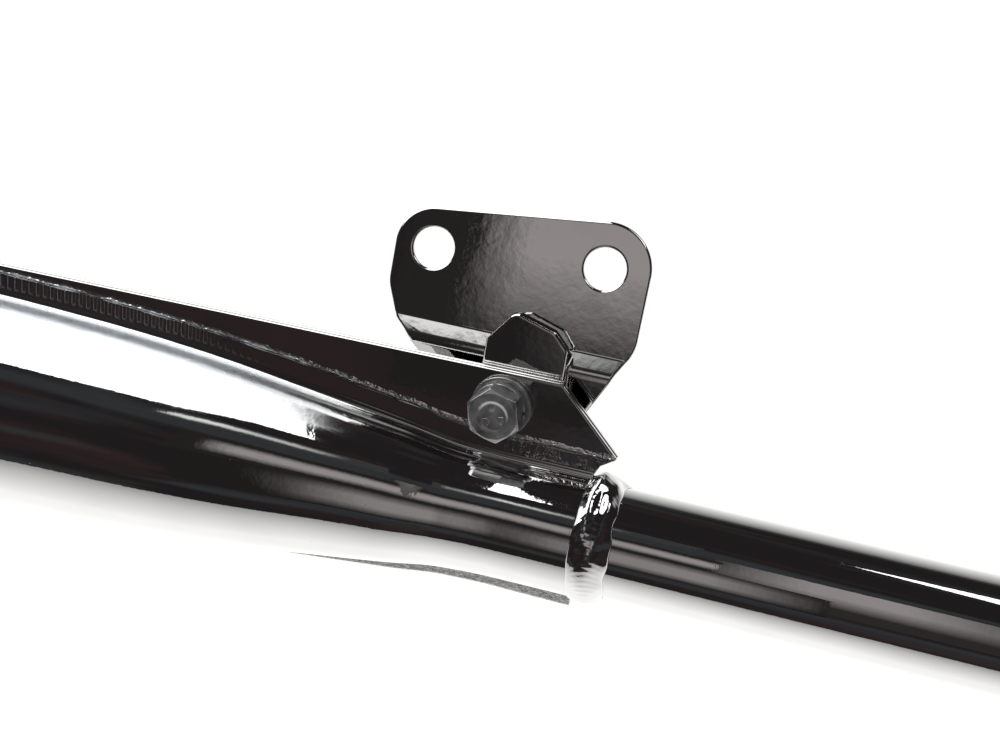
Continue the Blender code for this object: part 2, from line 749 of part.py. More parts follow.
def make_tail(frame, chrome, zinc):
    """The tail pipe, the weld that closes the shells on it, and the screw that holds the insert."""
    bore = TAIL_PIPE_RADIUS - SHEET
    tail_pipe = tube("tail_pipe", TAIL_PIPE_START, TAIL_PIPE_END, TAIL_PIPE_RADIUS, bore)
    place(tail_pipe, chrome, frame, rotation=ALONG_X)
    screw_hole = rod("screw hole", 0, -TAIL_PIPE_RADIUS - 10 * MM, SCREW_RADIUS + GAP, 20)
    as_cutter(screw_hole, frame, (SCREW_STATION, 0, 0))
    boolean(tail_pipe, screw_hole, "DIFFERENCE")

    weld_root = TAIL_END - GAP
    tail_weld = turned(
        "tail_weld",
        (
            (weld_root, TAIL_PIPE_RADIUS + 1.6 * MM),
            (weld_root - 1.4 * MM, TAIL_PIPE_RADIUS + 1.9 * MM),
            (weld_root - 3.2 * MM, TAIL_PIPE_RADIUS + 1.1 * MM),
            (weld_root - 4.4 * MM, TAIL_PIPE_RADIUS + GAP),
            (weld_root, TAIL_PIPE_RADIUS + GAP),
        ),
    )
    place(tail_weld, chrome, frame, rotation=ALONG_X)

    boss_top = -TAIL_PIPE_RADIUS - GAP
    boss_bottom = boss_top - 5 * MM
    boss = tube("screw_boss", boss_top + 2 * MM, boss_bottom, 5 * MM, SCREW_RADIUS + GAP, 28)
    place(boss, chrome, frame, (SCREW_STATION, 0, 0))
    seat = rod("boss seat", 12 * MM, -12 * MM, TAIL_PIPE_RADIUS + GAP, 48)
    as_cutter(seat, frame, (SCREW_STATION, 0, 0), ALONG_X)
    boolean(boss, seat, "DIFFERENCE")

    head_top = boss_bottom - GAP
    screw = turned(
        "retaining_screw",
        (
            (-INSERT_RADIUS - GAP, 0),
            (-INSERT_RADIUS - GAP, SCREW_RADIUS),
            (head_top, SCREW_RADIUS),
            (head_top, 4.5 * MM),
            (head_top - 3.2 * MM, 4.5 * MM),
            (head_top - 4.2 * MM, 3.8 * MM),
            (head_top - 4.2 * MM, 0),
        ),
        24,
        closed=False,
    )
    place(screw, zinc, frame, (SCREW_STATION, 0, 0))
    socket = hexagon("screw socket", 4 * MM, head_top - 1.6 * MM, head_top - 6 * MM)
    as_cutter(socket, frame, (SCREW_STATION, 0, 0))
    boolean(screw, socket, "DIFFERENCE")


def make_insert(slide, steel, zinc):
    """The silencer that draws out of the tail pipe: a perforated tube, a front disc and an end ring."""
    tube_end = TAIL_PIPE_END - 1 * MM
    bore = INSERT_TUBE_RADIUS - SHEET
    core = tube("silencer_tube", INSERT_START, tube_end, INSERT_TUBE_RADIUS, bore, 24)
    place(core, steel, slide, rotation=ALONG_X)
    stations = [INSERT_START - 18 * MM - 9.5 * MM * index for index in range(9)]
    holes = drill_row("silencer holes", 1.6 * MM, 10 * MM, stations, math.radians(60))
    as_cutter(holes, slide, rotation=ALONG_X)
    boolean(core, holes, "DIFFERENCE")

    inner = INSERT_TUBE_RADIUS + GAP
    disc_front = TAIL_PIPE_START - 4 * MM
    disc = turned(
        "silencer_front_disc",
        (
            (disc_front, INSERT_RADIUS - SHEET),
            (disc_front, INSERT_RADIUS),
            (disc_front - 6 * MM, INSERT_RADIUS),
            (disc_front - 7.2 * MM, INSERT_RADIUS - SHEET),
            (disc_front - 7.2 * MM, inner),
            (disc_front - 6 * MM, inner),
            (disc_front - 6 * MM, INSERT_RADIUS - SHEET),
        ),
    )
    place(disc, steel, slide, rotation=ALONG_X)

    lip = TAIL_PIPE_END - GAP
    ring = turned(
        "silencer_end_ring",
        (
            (lip + 16 * MM, inner),
            (lip + 16 * MM, INSERT_RADIUS),
            (lip, INSERT_RADIUS),
            (lip, TAIL_PIPE_RADIUS),
            (lip - 1.4 * MM, TAIL_PIPE_RADIUS),
            (lip - 2.4 * MM, TAIL_PIPE_RADIUS - 1 * MM),
            (lip - 2.4 * MM, inner + 1.2 * MM),
            (lip - 1.6 * MM, inner),
        ),
    )
    place(ring, zinc, slide, rotation=ALONG_X)


clear_scene()
parts = new_collection("exhaust_muffler")
cutters = new_collection("cutters")
cutters.hide_render = True

muffler_frame = empty_at("muffler_frame", (WELD_X, 0, AXIS_Z))
bracket_pivot = empty_at(
    "bracket_pivot", (BOLT_AT[0], bracket_middle(), BOLT_AT[1]), muffler_frame
)
insert_slide = empty_at("insert_slide", (0, 0, 0), muffler_frame)

chrome_finish = new_material("chrome", (0.62, 0.60, 0.59), 0.06)
zinc_finish = new_material("zinc", (0.42, 0.42, 0.43), 0.32)
steel_finish = new_material("bare steel", (0.34, 0.33, 0.32), 0.45)

make_half_shells(muffler_frame, chrome_finish)
make_header(muffler_frame, chrome_finish, chrome_finish)
make_ear(muffler_frame, chrome_finish)
make_bracket(bracket_pivot, chrome_finish)
make_bolt_set(muffler_frame, zinc_finish)
make_diffuser(muffler_frame, steel_finish)
make_baffles(muffler_frame, steel_finish)
make_tail(muffler_frame, chrome_finish, zinc_finish)
make_insert(insert_slide, steel_finish, zinc_finish)
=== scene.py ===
import math

import bmesh
import bpy
import numpy as np
from bpy.props import FloatProperty, FloatVectorProperty, IntProperty, PointerProperty
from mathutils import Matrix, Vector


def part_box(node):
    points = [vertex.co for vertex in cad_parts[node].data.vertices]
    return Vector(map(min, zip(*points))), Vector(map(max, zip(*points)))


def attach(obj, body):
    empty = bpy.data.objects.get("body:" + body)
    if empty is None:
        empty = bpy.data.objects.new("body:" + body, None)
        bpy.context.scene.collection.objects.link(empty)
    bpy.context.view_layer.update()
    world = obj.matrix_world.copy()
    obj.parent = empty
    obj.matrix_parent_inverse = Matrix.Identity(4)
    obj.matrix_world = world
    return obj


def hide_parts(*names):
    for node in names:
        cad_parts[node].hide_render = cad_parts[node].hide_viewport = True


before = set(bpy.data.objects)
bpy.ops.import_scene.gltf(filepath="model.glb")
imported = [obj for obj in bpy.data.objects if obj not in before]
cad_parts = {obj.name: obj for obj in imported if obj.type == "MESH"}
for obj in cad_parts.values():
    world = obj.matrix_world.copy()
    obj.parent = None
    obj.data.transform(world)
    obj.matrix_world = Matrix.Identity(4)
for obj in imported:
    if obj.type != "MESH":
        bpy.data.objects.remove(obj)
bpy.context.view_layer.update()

bl_info = {
    "name": "Chrome exhaust",
    "version": (1, 0, 0),
    "blender": (4, 5, 0),
    "location": "3D View > Sidebar > Exhaust",
    "description": "Fine surfaces and finishes for a chromed exhaust with its frame bracket",
    "category": "Add Mesh",
}

MM = 0.001


# ------------------------------------------------------------------ places taken from the frame


def middle(node):
    """The middle of a CAD node's box."""
    low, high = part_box(node)
    return (low + high) / 2


NECK_LOW, NECK_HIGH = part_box("neck_weld")
PORT_LOW, PORT_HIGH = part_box("header_flange")
TAIL_LOW, TAIL_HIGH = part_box("tail_pipe")
WELD_X = NECK_LOW.x + 0.9 * MM
AXIS_Z = (NECK_LOW.z + NECK_HIGH.z) / 2
BOLT = middle("bolt_washer")
TAIL_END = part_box("outer_half_shell")[0].x - WELD_X
PLATE_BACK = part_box("nut_washer")[0].y - 0.3 * MM


# ------------------------------------------------------------------ sizes and colours


class ExhaustSettings(bpy.types.PropertyGroup):
    """The sizes and colours of the exhaust."""

    pipe_radius: FloatProperty(
        name="Pipe radius", description="Outside radius of the header pipe",
        default=15.0 * MM, unit="LENGTH",
    )
    pipe_wall: FloatProperty(
        name="Pipe wall", description="Thickness of the header pipe's wall",
        default=1.5 * MM, unit="LENGTH",
    )
    bend_radius: FloatProperty(
        name="Bend radius", description="Radius of the header bend's centre line",
        default=65.0 * MM, unit="LENGTH",
    )
    sheet: FloatProperty(
        name="Shell sheet", description="Thickness of the pressed half shells",
        default=1.3 * MM, unit="LENGTH",
    )
    plate: FloatProperty(
        name="Plate", description="Thickness of the ear and of the frame bracket",
        default=3.0 * MM, unit="LENGTH",
    )
    edge_round: FloatProperty(
        name="Punched edge", description="Rounding of the plates' punched and polished edges",
        default=0.75 * MM, unit="LENGTH",
    )
    track_depth: FloatProperty(
        name="Seam track depth", description="How deep the seam rollers pressed into the flange",
        default=0.22 * MM, unit="LENGTH",
    )
    around: IntProperty(
        name="Facets around", description="Facets round the pipes", default=128, min=32, max=256,
    )
    chrome: FloatVectorProperty(
        name="Chrome", description="Colour of the plating", subtype="COLOR",
        default=(0.62, 0.615, 0.61),
    )
    zinc: FloatVectorProperty(
        name="Zinc", description="Colour of the fasteners", subtype="COLOR",
        default=(0.55, 0.555, 0.56),
    )
    steel: FloatVectorProperty(
        name="Bare steel", description="Colour of the sheet inside the muffler", subtype="COLOR",
        default=(0.36, 0.34, 0.32),
    )


# ------------------------------------------------------------------ surfaces


def quads(rows, columns, close_rows, close_columns):
    """Every cell of a grid of points as four point numbers, wrapping round where it is closed."""
    row, column = np.meshgrid(
        np.arange(rows if close_rows else rows - 1),
        np.arange(columns if close_columns else columns - 1),
        indexing="ij",
    )
    below, beside = (row + 1) % rows, (column + 1) % columns
    cells = (row * columns + column, row * columns + beside)
    cells += (below * columns + beside, below * columns + column)
    return np.stack(cells, -1).reshape(-1, 4)


def put_mesh(name, points, faces):
    """A mesh object from arrays of points and four-cornered faces."""
    mesh = bpy.data.meshes.new(name)
    mesh.vertices.add(len(points))
    mesh.vertices.foreach_set("co", np.ascontiguousarray(points, np.float32).ravel())
    mesh.loops.add(faces.size)
    mesh.loops.foreach_set("vertex_index", faces.ravel().astype(np.int32))
    mesh.polygons.add(len(faces))
    mesh.polygons.foreach_set("loop_start", np.arange(0, faces.size, 4, dtype=np.int32))
    mesh.update(calc_edges=True)
    mesh.validate()
    obj = bpy.data.objects.new(name, mesh)
    bpy.context.scene.collection.objects.link(obj)
    return obj


def surface(name, points, close_rows=False, close_columns=False, fields=None, sharp=40):
    """A closed skin over a grid of points (rows, columns, 3); fields are numbers kept at each point."""
    rows, columns = points.shape[:2]
    faces = quads(rows, columns, close_rows, close_columns)
    obj = put_mesh(name, points.reshape(-1, 3), faces)
    for field, values in (fields or {}).items():
        attribute = obj.data.attributes.new(field, "FLOAT", "POINT")
        full = np.broadcast_to(values, (rows, columns))
        attribute.data.foreach_set("value", np.ascontiguousarray(full, np.float32).ravel())
    return closed(obj, sharp)


def closed(obj, sharp):
    """Merges seams and poles, turns the faces outwards and shades the skin smooth between edges."""
    work = bmesh.new()
    work.from_mesh(obj.data)
    bmesh.ops.remove_doubles(work, verts=work.verts, dist=0.000002)
    bmesh.ops.dissolve_degenerate(work, edges=work.edges, dist=0.0000005)
    bmesh.ops.recalc_face_normals(work, faces=work.faces)
    work.to_mesh(obj.data)
    work.free()
    obj.data.polygons.foreach_set("use_smooth", np.ones(len(obj.data.polygons), bool))
    obj.data.set_sharp_from_angle(angle=math.radians(sharp))
    return obj


def points_of(obj):
    """A mesh object's points as an array."""
    points = np.empty(len(obj.data.vertices) * 3, np.float32)
    obj.data.vertices.foreach_get("co", points)
    return points.reshape(-1, 3)


def set_points(obj, points):
    """Moves a mesh object's points."""
    obj.data.vertices.foreach_set("co", points.astype(np.float32).ravel())
    obj.data.update()


def weighted(obj):
    """Large flat faces keep their own direction, so that only the rounded edges shade round."""
    modifier = obj.modifiers.new("Weighted normals", "WEIGHTED_NORMAL")
    modifier.mode = "FACE_AREA"
    modifier.weight = 100
    modifier.keep_sharp = True
    return obj


def smooth_step(value):
    """3 t^2 - 2 t^3 with t held between 0 and 1."""
    value = np.clip(value, 0.0, 1.0)
    return value * value * (3 - 2 * value)


def through(x, stations, values):
    """A cubic through (station, value) pairs that never overshoots: harmonic mean slopes inside."""
    stations, values = np.array(stations), np.array(values)
    order = np.argsort(stations)
    stations, values = stations[order], values[order]
    step = np.diff(stations)
    rise = np.diff(values) / step
    slope = np.zeros(len(values))
    product = rise[:-1] * rise[1:]
    total = np.where(rise[:-1] + rise[1:] == 0, 1, rise[:-1] + rise[1:])
    slope[1:-1] = np.where(product > 0, 2 * product / total, 0.0)
    x = np.clip(x, stations[0], stations[-1])
    k = np.clip(np.searchsorted(stations, x) - 1, 0, len(step) - 1)
    t = (x - stations[k]) / step[k]
    low = (2 * t**3 - 3 * t**2 + 1) * values[k] + (3 * t**2 - 2 * t**3) * values[k + 1]
    return low + step[k] * ((t**3 - 2 * t**2 + t) * slope[k] + (t**3 - t**2) * slope[k + 1])


def bumps(across, along, places):
    """The sum of round swellings (across, along, height, width across, width along)."""
    total = np.zeros(np.broadcast(across, along).shape)
    for at_across, at_along, height, wide, long in places:
        apart = (np.mod(across - at_across + math.pi, math.tau) - math.pi) / wide
        total = total + height * np.exp(-(apart**2) - ((along - at_along) / long) ** 2)
    return total


def rounded(corners, radius, steps=5):
    """A line through (x, y) corners with each inner corner replaced by an arc of about this radius."""
    corners = np.array(corners, float)
    parts = [corners[:1]]
    for before, corner, after in zip(corners[:-2], corners[1:-1], corners[2:]):
        back, ahead = before - corner, after - corner
        back_length, ahead_length = np.linalg.norm(back), np.linalg.norm(ahead)
        cut = min(radius, 0.45 * back_length, 0.45 * ahead_length)
        start, end = corner + back / back_length * cut, corner + ahead / ahead_length * cut
        t = np.linspace(0, 1, steps + 1)[:, None]
        parts.append((1 - t) ** 2 * start + 2 * t * (1 - t) * corner + t**2 * end)
    parts.append(corners[-1:])
    return np.concatenate(parts)


AXES = {
    "x": ((1, 0, 0), (0, -1, 0), (0, 0, 1)),
    "y": ((0, -1, 0), (1, 0, 0), (0, 0, 1)),
    "z": ((0, 0, 1), (1, 0, 0), (0, 1, 0)),
}


def about(axis, origin, along, radius, angle):
    """Points at origin + along * axis + radius * (cos(angle) * first + sin(angle) * second)."""
    axis, first, second = (np.array(direction, float) for direction in AXES[axis])
    along, radius, angle = np.broadcast_arrays(along, radius, angle)
    spokes = np.cos(angle)[..., None] * first + np.sin(angle)[..., None] * second
    return np.array(origin) + along[..., None] * axis + radius[..., None] * spokes


def turned(name, axis, origin, profile, facets=128):
    """A closed (along, radius) profile carried round an axis."""
    profile = np.array(profile, float)
    angle = np.arange(facets) / facets * math.tau
    points = about(axis, origin, profile[None, :, 0], profile[None, :, 1], angle[:, None])
    return weighted(surface(name, points, close_rows=True, close_columns=True))


def belt(pulleys, count):
    """A belt round circles (x, y, radius), anticlockwise: its points and their outward directions."""
    pulleys = np.array(pulleys, float)
    ahead = np.roll(pulleys, -1, axis=0) - pulleys
    reach = np.hypot(ahead[:, 0], ahead[:, 1])
    leaving = np.arctan2(ahead[:, 1], ahead[:, 0]) - math.pi / 2 + np.arcsin(-ahead[:, 2] / reach)
    arriving = np.roll(leaving, 1)
    sweep = np.mod(leaving - arriving, math.tau)
    points, directions = [], []
    for (x, y, radius), start, turn in zip(pulleys, arriving, sweep):
        angle = start + np.linspace(0, turn, max(3, round(count * turn / math.tau)))
        direction = np.stack((np.cos(angle), np.sin(angle)), -1)
        points.append(np.array((x, y)) + radius * direction)
        directions.append(direction)
    return np.concatenate(points), np.concatenate(directions)


def ring(x, y, radius, count):
    """A hole's edge: points on a circle, with directions that point into the hole."""
    angle = -np.arange(count) / count * math.tau
    direction = np.stack((np.cos(angle), np.sin(angle)), -1)
    return np.array((x, y)) + radius * direction, -direction


def plate(name, edges, thickness, edge_round, folds=(), steps=6):
    """A flat plate: a rounded edge profile carried along every edge, with both faces filled between.

    The profile at angle b is edge_round * (1 - sin b) in from the edge and edge_round * (1 - cos b)
    below the face. Each fold then turns what lies above a height about a line of that height.
    """
    b = np.linspace(0, math.pi / 2, steps + 1)
    inset = edge_round * (1 - np.sin(b))
    height = thickness / 2 - edge_round * (1 - np.cos(b))
    inset, height = np.concatenate((inset, inset[::-1])), np.concatenate((height, -height[::-1]))
    points, faces, fronts, start = [], [], [], 0
    for edge, outward in edges:
        flat = edge[:, None] - inset[None, :, None] * outward[:, None]
        level = np.broadcast_to(height[None, :, None], (*flat.shape[:2], 1))
        points.append(np.concatenate((flat, level), -1).reshape(-1, 3))
        faces.append(quads(len(edge), len(inset), True, False) + start)
        fronts.append((start, len(edge)))
        start += len(edge) * len(inset)
    obj = put_mesh(name, np.concatenate(points), np.concatenate(faces))
    work = bmesh.new()
    work.from_mesh(obj.data)
    work.edges.ensure_lookup_table()
    for side in (1, -1):
        open_edges = [
            edge for edge in work.edges if edge.is_boundary and edge.verts[0].co.z * side > 0
        ]
        bmesh.ops.triangle_fill(work, edges=open_edges, use_beauty=True, normal=(0, 0, side))
    for fold_height, lean, radius in folds:
        arc = radius * abs(lean)
        for cut in np.linspace(-0.5, 0.5, 9) * arc + fold_height:
            everything = work.verts[:] + work.edges[:] + work.faces[:]
            bmesh.ops.bisect_plane(
                work, geom=everything, plane_co=(0, cut, 0), plane_no=(0, 1, 0), dist=1e-7
            )
    bmesh.ops.triangulate(work, faces=[face for face in work.faces if len(face.verts) > 4])
    bmesh.ops.recalc_face_normals(work, faces=work.faces)
    work.to_mesh(obj.data)
    work.free()
    points = points_of(obj).astype(float)
    for fold in folds:
        points = folded(points, *fold)
    set_points(obj, points)
    obj.data.polygons.foreach_set("use_smooth", np.ones(len(obj.data.polygons), bool))
    obj.data.set_sharp_from_angle(angle=math.radians(50))
    return obj


def folded(co, height, lean, radius):
    """Points above a height turned about a fold of this radius, towards -Z for a positive lean."""
    side, arc = math.copysign(1, lean), radius * abs(lean)
    start = height - arc / 2
    beyond = co[:, 1] - start
    turn = np.clip(beyond, 0, arc) / radius
    straight = np.maximum(0, beyond - arc)
    out = radius + side * co[:, 2]
    y = start + out * np.sin(turn) + straight * np.cos(turn)
    z = side * (out * np.cos(turn) - radius - straight * np.sin(turn))
    bent = beyond > 0
    return np.stack((co[:, 0], np.where(bent, y, co[:, 1]), np.where(bent, z, co[:, 2])), -1)


def stand_up(obj, x, y, z):
    """Turns a plate made flat in X and Y so that it faces -Y, and moves it to its place."""
    across, up, out = points_of(obj).T
    set_points(obj, np.stack((across + x, y - out, up + z), -1))
    return obj


# ------------------------------------------------------------------ materials


class Number:
    """A socket that carries a number; arithmetic on it adds Math nodes."""

    def __init__(self, tree, socket):
        self.tree, self.socket = tree, socket

    def maths(self, operation, *others, clamp=False):
        node = self.tree.nodes.new("ShaderNodeMath")
        node.operation, node.use_clamp = operation, clamp
        for place, value in zip(node.inputs, (self, *others)):
            if isinstance(value, Number):
                self.tree.links.new(value.socket, place)
            else:
                place.default_value = value
        return Number(self.tree, node.outputs[0])

    def __add__(self, other):
        return self.maths("ADD", other)

    __radd__ = __add__

    def __mul__(self, other):
        return self.maths("MULTIPLY", other)

    __rmul__ = __mul__

    def __sub__(self, other):
        return self.maths("SUBTRACT", other)

    def __rsub__(self, other):
        return (self * -1) + other

    def __truediv__(self, other):
        return self.maths("DIVIDE", other)

    def held(self):
        """The number kept between 0 and 1."""
        return self.maths("MULTIPLY", 1.0, clamp=True)

    def over(self, low, high):
        """0 below low, 1 above high and straight between."""
        return ((self - low) / (high - low)).held()


class Finish:
    """A material under construction: node() adds one node, and paint() links the shader."""

    def __init__(self, name):
        self.material = bpy.data.materials.new(name)
        self.material.use_nodes = True
        self.tree = self.material.node_tree
        self.shader = self.tree.nodes["Principled BSDF"]
        self.place = self.node("ShaderNodeTexCoord").outputs["Object"]

    def node(self, kind, settings=None, **sockets):
        node = self.tree.nodes.new(kind)
        for setting, value in (settings or {}).items():
            setattr(node, setting, value)
        for socket, value in sockets.items():
            self.feed(node.inputs[socket.replace("_", " ")], value)
        return node

    def feed(self, socket, value):
        if isinstance(value, Number):
            self.tree.links.new(value.socket, socket)
        elif isinstance(value, bpy.types.NodeSocket):
            self.tree.links.new(value, socket)
        else:
            socket.default_value = value

    def number(self, node, output=0):
        return Number(self.tree, node.outputs[output])

    def noise(self, scale, detail=3.0, rough=0.5, stretch=(1, 1, 1)):
        """Fractal noise, stretched along the axes whose factor is below 1."""
        mapping = self.node("ShaderNodeMapping", Vector=self.place, Scale=stretch)
        noise = self.node(
            "ShaderNodeTexNoise", Vector=mapping.outputs[0], Scale=scale, Detail=detail,
            Roughness=rough,
        )
        return self.number(noise)

    def specks(self, scale, size):
        """1 in the middle of scattered round specks, falling to 0 at this share of a cell."""
        cells = self.node("ShaderNodeTexVoronoi", Vector=self.place, Scale=scale, Randomness=1.0)
        return 1 - self.number(cells).over(0.0, size)

    def field(self, name):
        return self.number(self.node("ShaderNodeAttribute", {"attribute_name": name}), "Fac")

    def mix(self, share, first, second):
        node = self.node("ShaderNodeMix", {"data_type": "RGBA", "blend_type": "MIX"})
        self.feed(node.inputs["Factor"], share)
        self.feed(node.inputs[6], first)
        self.feed(node.inputs[7], second)
        return node.outputs[2]

    def bump(self, height, distance, strength=1.0, under=None):
        node = self.node("ShaderNodeBump", Strength=strength, Distance=distance)
        self.feed(node.inputs["Height"], height)
        if under is not None:
            self.feed(node.inputs["Normal"], under)
        return node.outputs[0]

    def paint(self, **sockets):
        for socket, value in sockets.items():
            self.feed(self.shader.inputs[socket.replace("_", " ")], value)
        return self.material


def shade(colour, factor):
    return (*(min(1.0, part * factor) for part in colour), 1.0)


def chrome_finish(name, colour, peel=1.0, track=False):
    """Decorative chrome: mirror plating with orange peel, polishing lines, film and tiny pits. With the
    seam track it also paints a highlight on the track's ridge and a bluish reflection at the flange
    root.
    """
    finish = Finish(name)
    film = finish.noise(38.0, 4.0, 0.6)
    cloud = finish.noise(210.0, 3.0, 0.6)
    lines = finish.noise(900.0, 2.0, 0.5, (0.03, 1.0, 1.0))
    pits = finish.specks(420.0, 0.07) * finish.noise(95.0, 2.0).over(0.56, 0.66)
    rough = 0.022 + 0.05 * film.over(0.5, 0.8) + 0.035 * cloud.over(0.5, 0.75) * film
    rough = rough + 0.03 * lines.over(0.52, 0.8) + 0.5 * pits
    tone = finish.mix(film.over(0.35, 0.75), shade(colour, 1.03), shade(colour, 0.95))
    tone = finish.mix(pits, tone, shade(colour, 0.25))
    peel_height = finish.noise(620.0, 2.0, 0.45)
    ripple = finish.noise(130.0, 2.0, 0.4)
    normal = finish.bump(ripple, 0.00006 * peel, 0.35)
    normal = finish.bump(peel_height, 0.000016 * peel, 0.5, normal)
    normal = finish.bump(1 - pits, 0.00004, 0.6, normal)
    if track:
        along, above = finish.field("along"), finish.field("above")
        wander = finish.noise(150.0, 3.0)
        above = above + (wander - 0.5) * 0.0016
        band = above.over(0.0011, 0.0017) * (1 - above.over(0.0056, 0.0060))
        rear = 1 - along.over(-0.118, -0.092)
        front = along.over(-0.026, -0.012)
        wave = (along * (math.tau / 0.0022) + (above - 0.003) * 90.0).maths("SINE")
        teeth = wave.over(-0.35, 0.35)
        tufts = finish.noise(420.0, 3.0).over(0.48, 0.6)
        root = finish.field("root")
        grind = finish.noise(700.0, 3.0, 0.5, (0.35, 1.0, 1.0))
        rough = rough + root * (0.2 + 0.16 * grind)
        # The flange root's band is lightened and tinted blue: a painted reflection of a grey-blue band,
        # over its real grinding roughness and bump.
        painted_blue_reflection = (colour[0] * 1.12, colour[1] * 1.2, colour[2] * 1.28, 1.0)
        tone = finish.mix(root, tone, painted_blue_reflection)
        normal = finish.bump(grind * root, 0.00008, 0.5, normal)
        normal = finish.bump(band * teeth * rear, 0.00012, 0.7, normal)
        normal = finish.bump(band * (teeth * 0.5 + tufts) * front, 0.00022, 0.8, normal)
        ridge = above.over(0.0052, 0.0058) * (1 - above.over(0.0058, 0.0070))
        chatter = finish.noise(700.0, 2.0, 0.5)
        normal = finish.bump(ridge * (0.3 + 1.4 * chatter), 0.0004, 1.0, normal)
        rough = rough + 0.10 * band * (rear * 0.6 + front) + 0.26 * ridge
        # The ridge is lightened: a painted highlight along the track's ridge line, beside its real bump
        # and roughness.
        tone = finish.mix(ridge, tone, shade(colour, 1.5))
        lip = finish.field("lip")
        mottle = finish.noise(800.0, 4.0, 0.65)
        rough = rough + lip * (0.34 + 0.25 * mottle)
        tone = finish.mix(lip * mottle.over(0.3, 0.6), tone, shade(colour, 1.5))
        normal = finish.bump(mottle * lip, 0.0003, 0.8, normal)
    return finish.paint(Base_Color=tone, Metallic=1.0, Roughness=rough, Normal=normal)


def weld_finish(name, colour):
    """Chrome over a rough bead: the plating's gloss on a pocked and spattered surface."""
    finish = Finish(name)
    fine = finish.noise(900.0, 4.0, 0.6)
    broad = finish.noise(260.0, 3.0, 0.5)
    holes = finish.specks(420.0, 0.13) * broad.over(0.55, 0.66)
    normal = finish.bump(broad, 0.00022, 0.5)
    normal = finish.bump(fine, 0.00002, 0.5, normal)
    normal = finish.bump(1 - holes, 0.00008, 0.7, normal)
    rough = 0.03 + 0.10 * fine.over(0.45, 0.8) + 0.4 * holes
    tone = finish.mix(holes, shade(colour, 1.0), shade(colour, 0.2))
    return finish.paint(Base_Color=tone, Metallic=1.0, Roughness=rough, Normal=normal)


def zinc_finish(name, colour):
    """Zinc plating: dull grey, clouded, with a fine grain and worn brighter patches."""
    finish = Finish(name)
    cloud = finish.noise(330.0, 4.0, 0.6)
    grain = finish.noise(2400.0, 3.0, 0.6)
    worn = finish.noise(150.0, 3.0, 0.6).over(0.5, 0.7)
    dents = finish.specks(900.0, 0.22) * cloud.over(0.5, 0.65)
    rough = 0.24 + 0.18 * cloud + 0.14 * grain - 0.12 * worn
    tone = finish.mix(cloud.over(0.3, 0.7), shade(colour, 0.72), shade(colour, 1.18))
    tone = finish.mix(dents, tone, shade(colour, 0.45))
    normal = finish.bump(cloud, 0.00012, 0.5)
    normal = finish.bump(grain, 0.00003, 0.6, normal)
    normal = finish.bump(1 - dents, 0.00008, 0.7, normal)
    return finish.paint(Base_Color=tone, Metallic=1.0, Roughness=rough, Normal=normal)


def steel_finish(name, colour):
    """Plain sheet steel with rolling marks and a thin brown film of oil and heat."""
    finish = Finish(name)
    film = finish.noise(70.0, 4.0, 0.6)
    rolled = finish.noise(1200.0, 3.0, 0.6, (0.05, 1.0, 1.0))
    rough = 0.34 + 0.2 * film + 0.16 * rolled
    brown = (colour[0] * 0.75, colour[1] * 0.62, colour[2] * 0.5, 1.0)
    tone = finish.mix(film.over(0.42, 0.72), shade(colour, 1.05), brown)
    normal = finish.bump(rolled, 0.00004, 0.5)
    normal = finish.bump(film, 0.0002, 0.3, normal)
    return finish.paint(Base_Color=tone, Metallic=0.95, Roughness=rough, Normal=normal)


def settings():
    return bpy.context.scene.exhaust


def finish_piece(obj, material, body, slot, *nodes):
    """Gives a piece its finish and its CAD body, and hides the CAD nodes it stands for. The slot is not
    used.
    """
    obj.data.materials.clear()
    obj.data.materials.append(material)
    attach(obj, body)
    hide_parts(*nodes)
    return obj


def weld_place(points):
    """Points from the weld's own place, where X is 0 at the neck weld and Z is 0 on the axis."""
    return points + np.array((WELD_X, 0, AXIS_Z))


# ------------------------------------------------------------------ half shells

BODY_STATIONS = (8, -22, -37, -52, -80, -108, -136, -168, -230, -310, -352, -386, -408, -420, -436)
BODY_RADII = (16.6, 16.6, 17.3, 19.6, 23.4, 26.8, 28.9, 30.1, 31.5, 31.5, 30.6, 24.4, 18.2, 15.6)
BODY_RADII += (15.6,)
ROOT_FILLET = 1.6 * MM
FLANGE_COLUMNS, FILLET_COLUMNS, ROUND_COLUMNS, LIP_COLUMNS = 40, 7, 61, 6
RIM = np.arange(1, 6) / 6 * math.pi
FACE, OUTSIDE = 0.15 * MM, 1.45 * MM  # the sheet's two sides, from the seam's middle
FILLET_Y = OUTSIDE + ROOT_FILLET
FLAT_LIMIT = 1.9 * MM  # nearer the seam than this, a point is on the flange or the lip
EDGE = 0.35 * MM  # rounding of the sheared edges
TRACK_WIDTH = 5.0 * MM
MESH_STEP = -190 * MM  # stations lie closer together in front of this
NECK_START = -22 * MM  # in front of this, stations run on to the slanted front edge


def body_radius(x):
    """The body's outer radius: the cubic through its stations."""
    return through(x / MM, BODY_STATIONS, BODY_RADII) * MM


def top_edge(x):
    """The upper flange's edge: the higher of the straight wedge and a lip that follows the body."""
    wedge = 41.3 * MM + 0.0115 * (x - 4.6 * MM)
    to_tail = smooth_step((TAIL_END + 16 * MM - x) / (16 * MM))
    lip = body_radius(x) + (7.5 - 4.5 * to_tail) * MM
    return np.where(x > -230 * MM, np.maximum(wedge, lip), lip)


def bottom_edge(x):
    """The lower lip's edge, 4.4 mm below the body in front and 2.2 mm behind."""
    return -(body_radius(x) + (4.4 - 2.2 * smooth_step(-x / (110 * MM))) * MM)


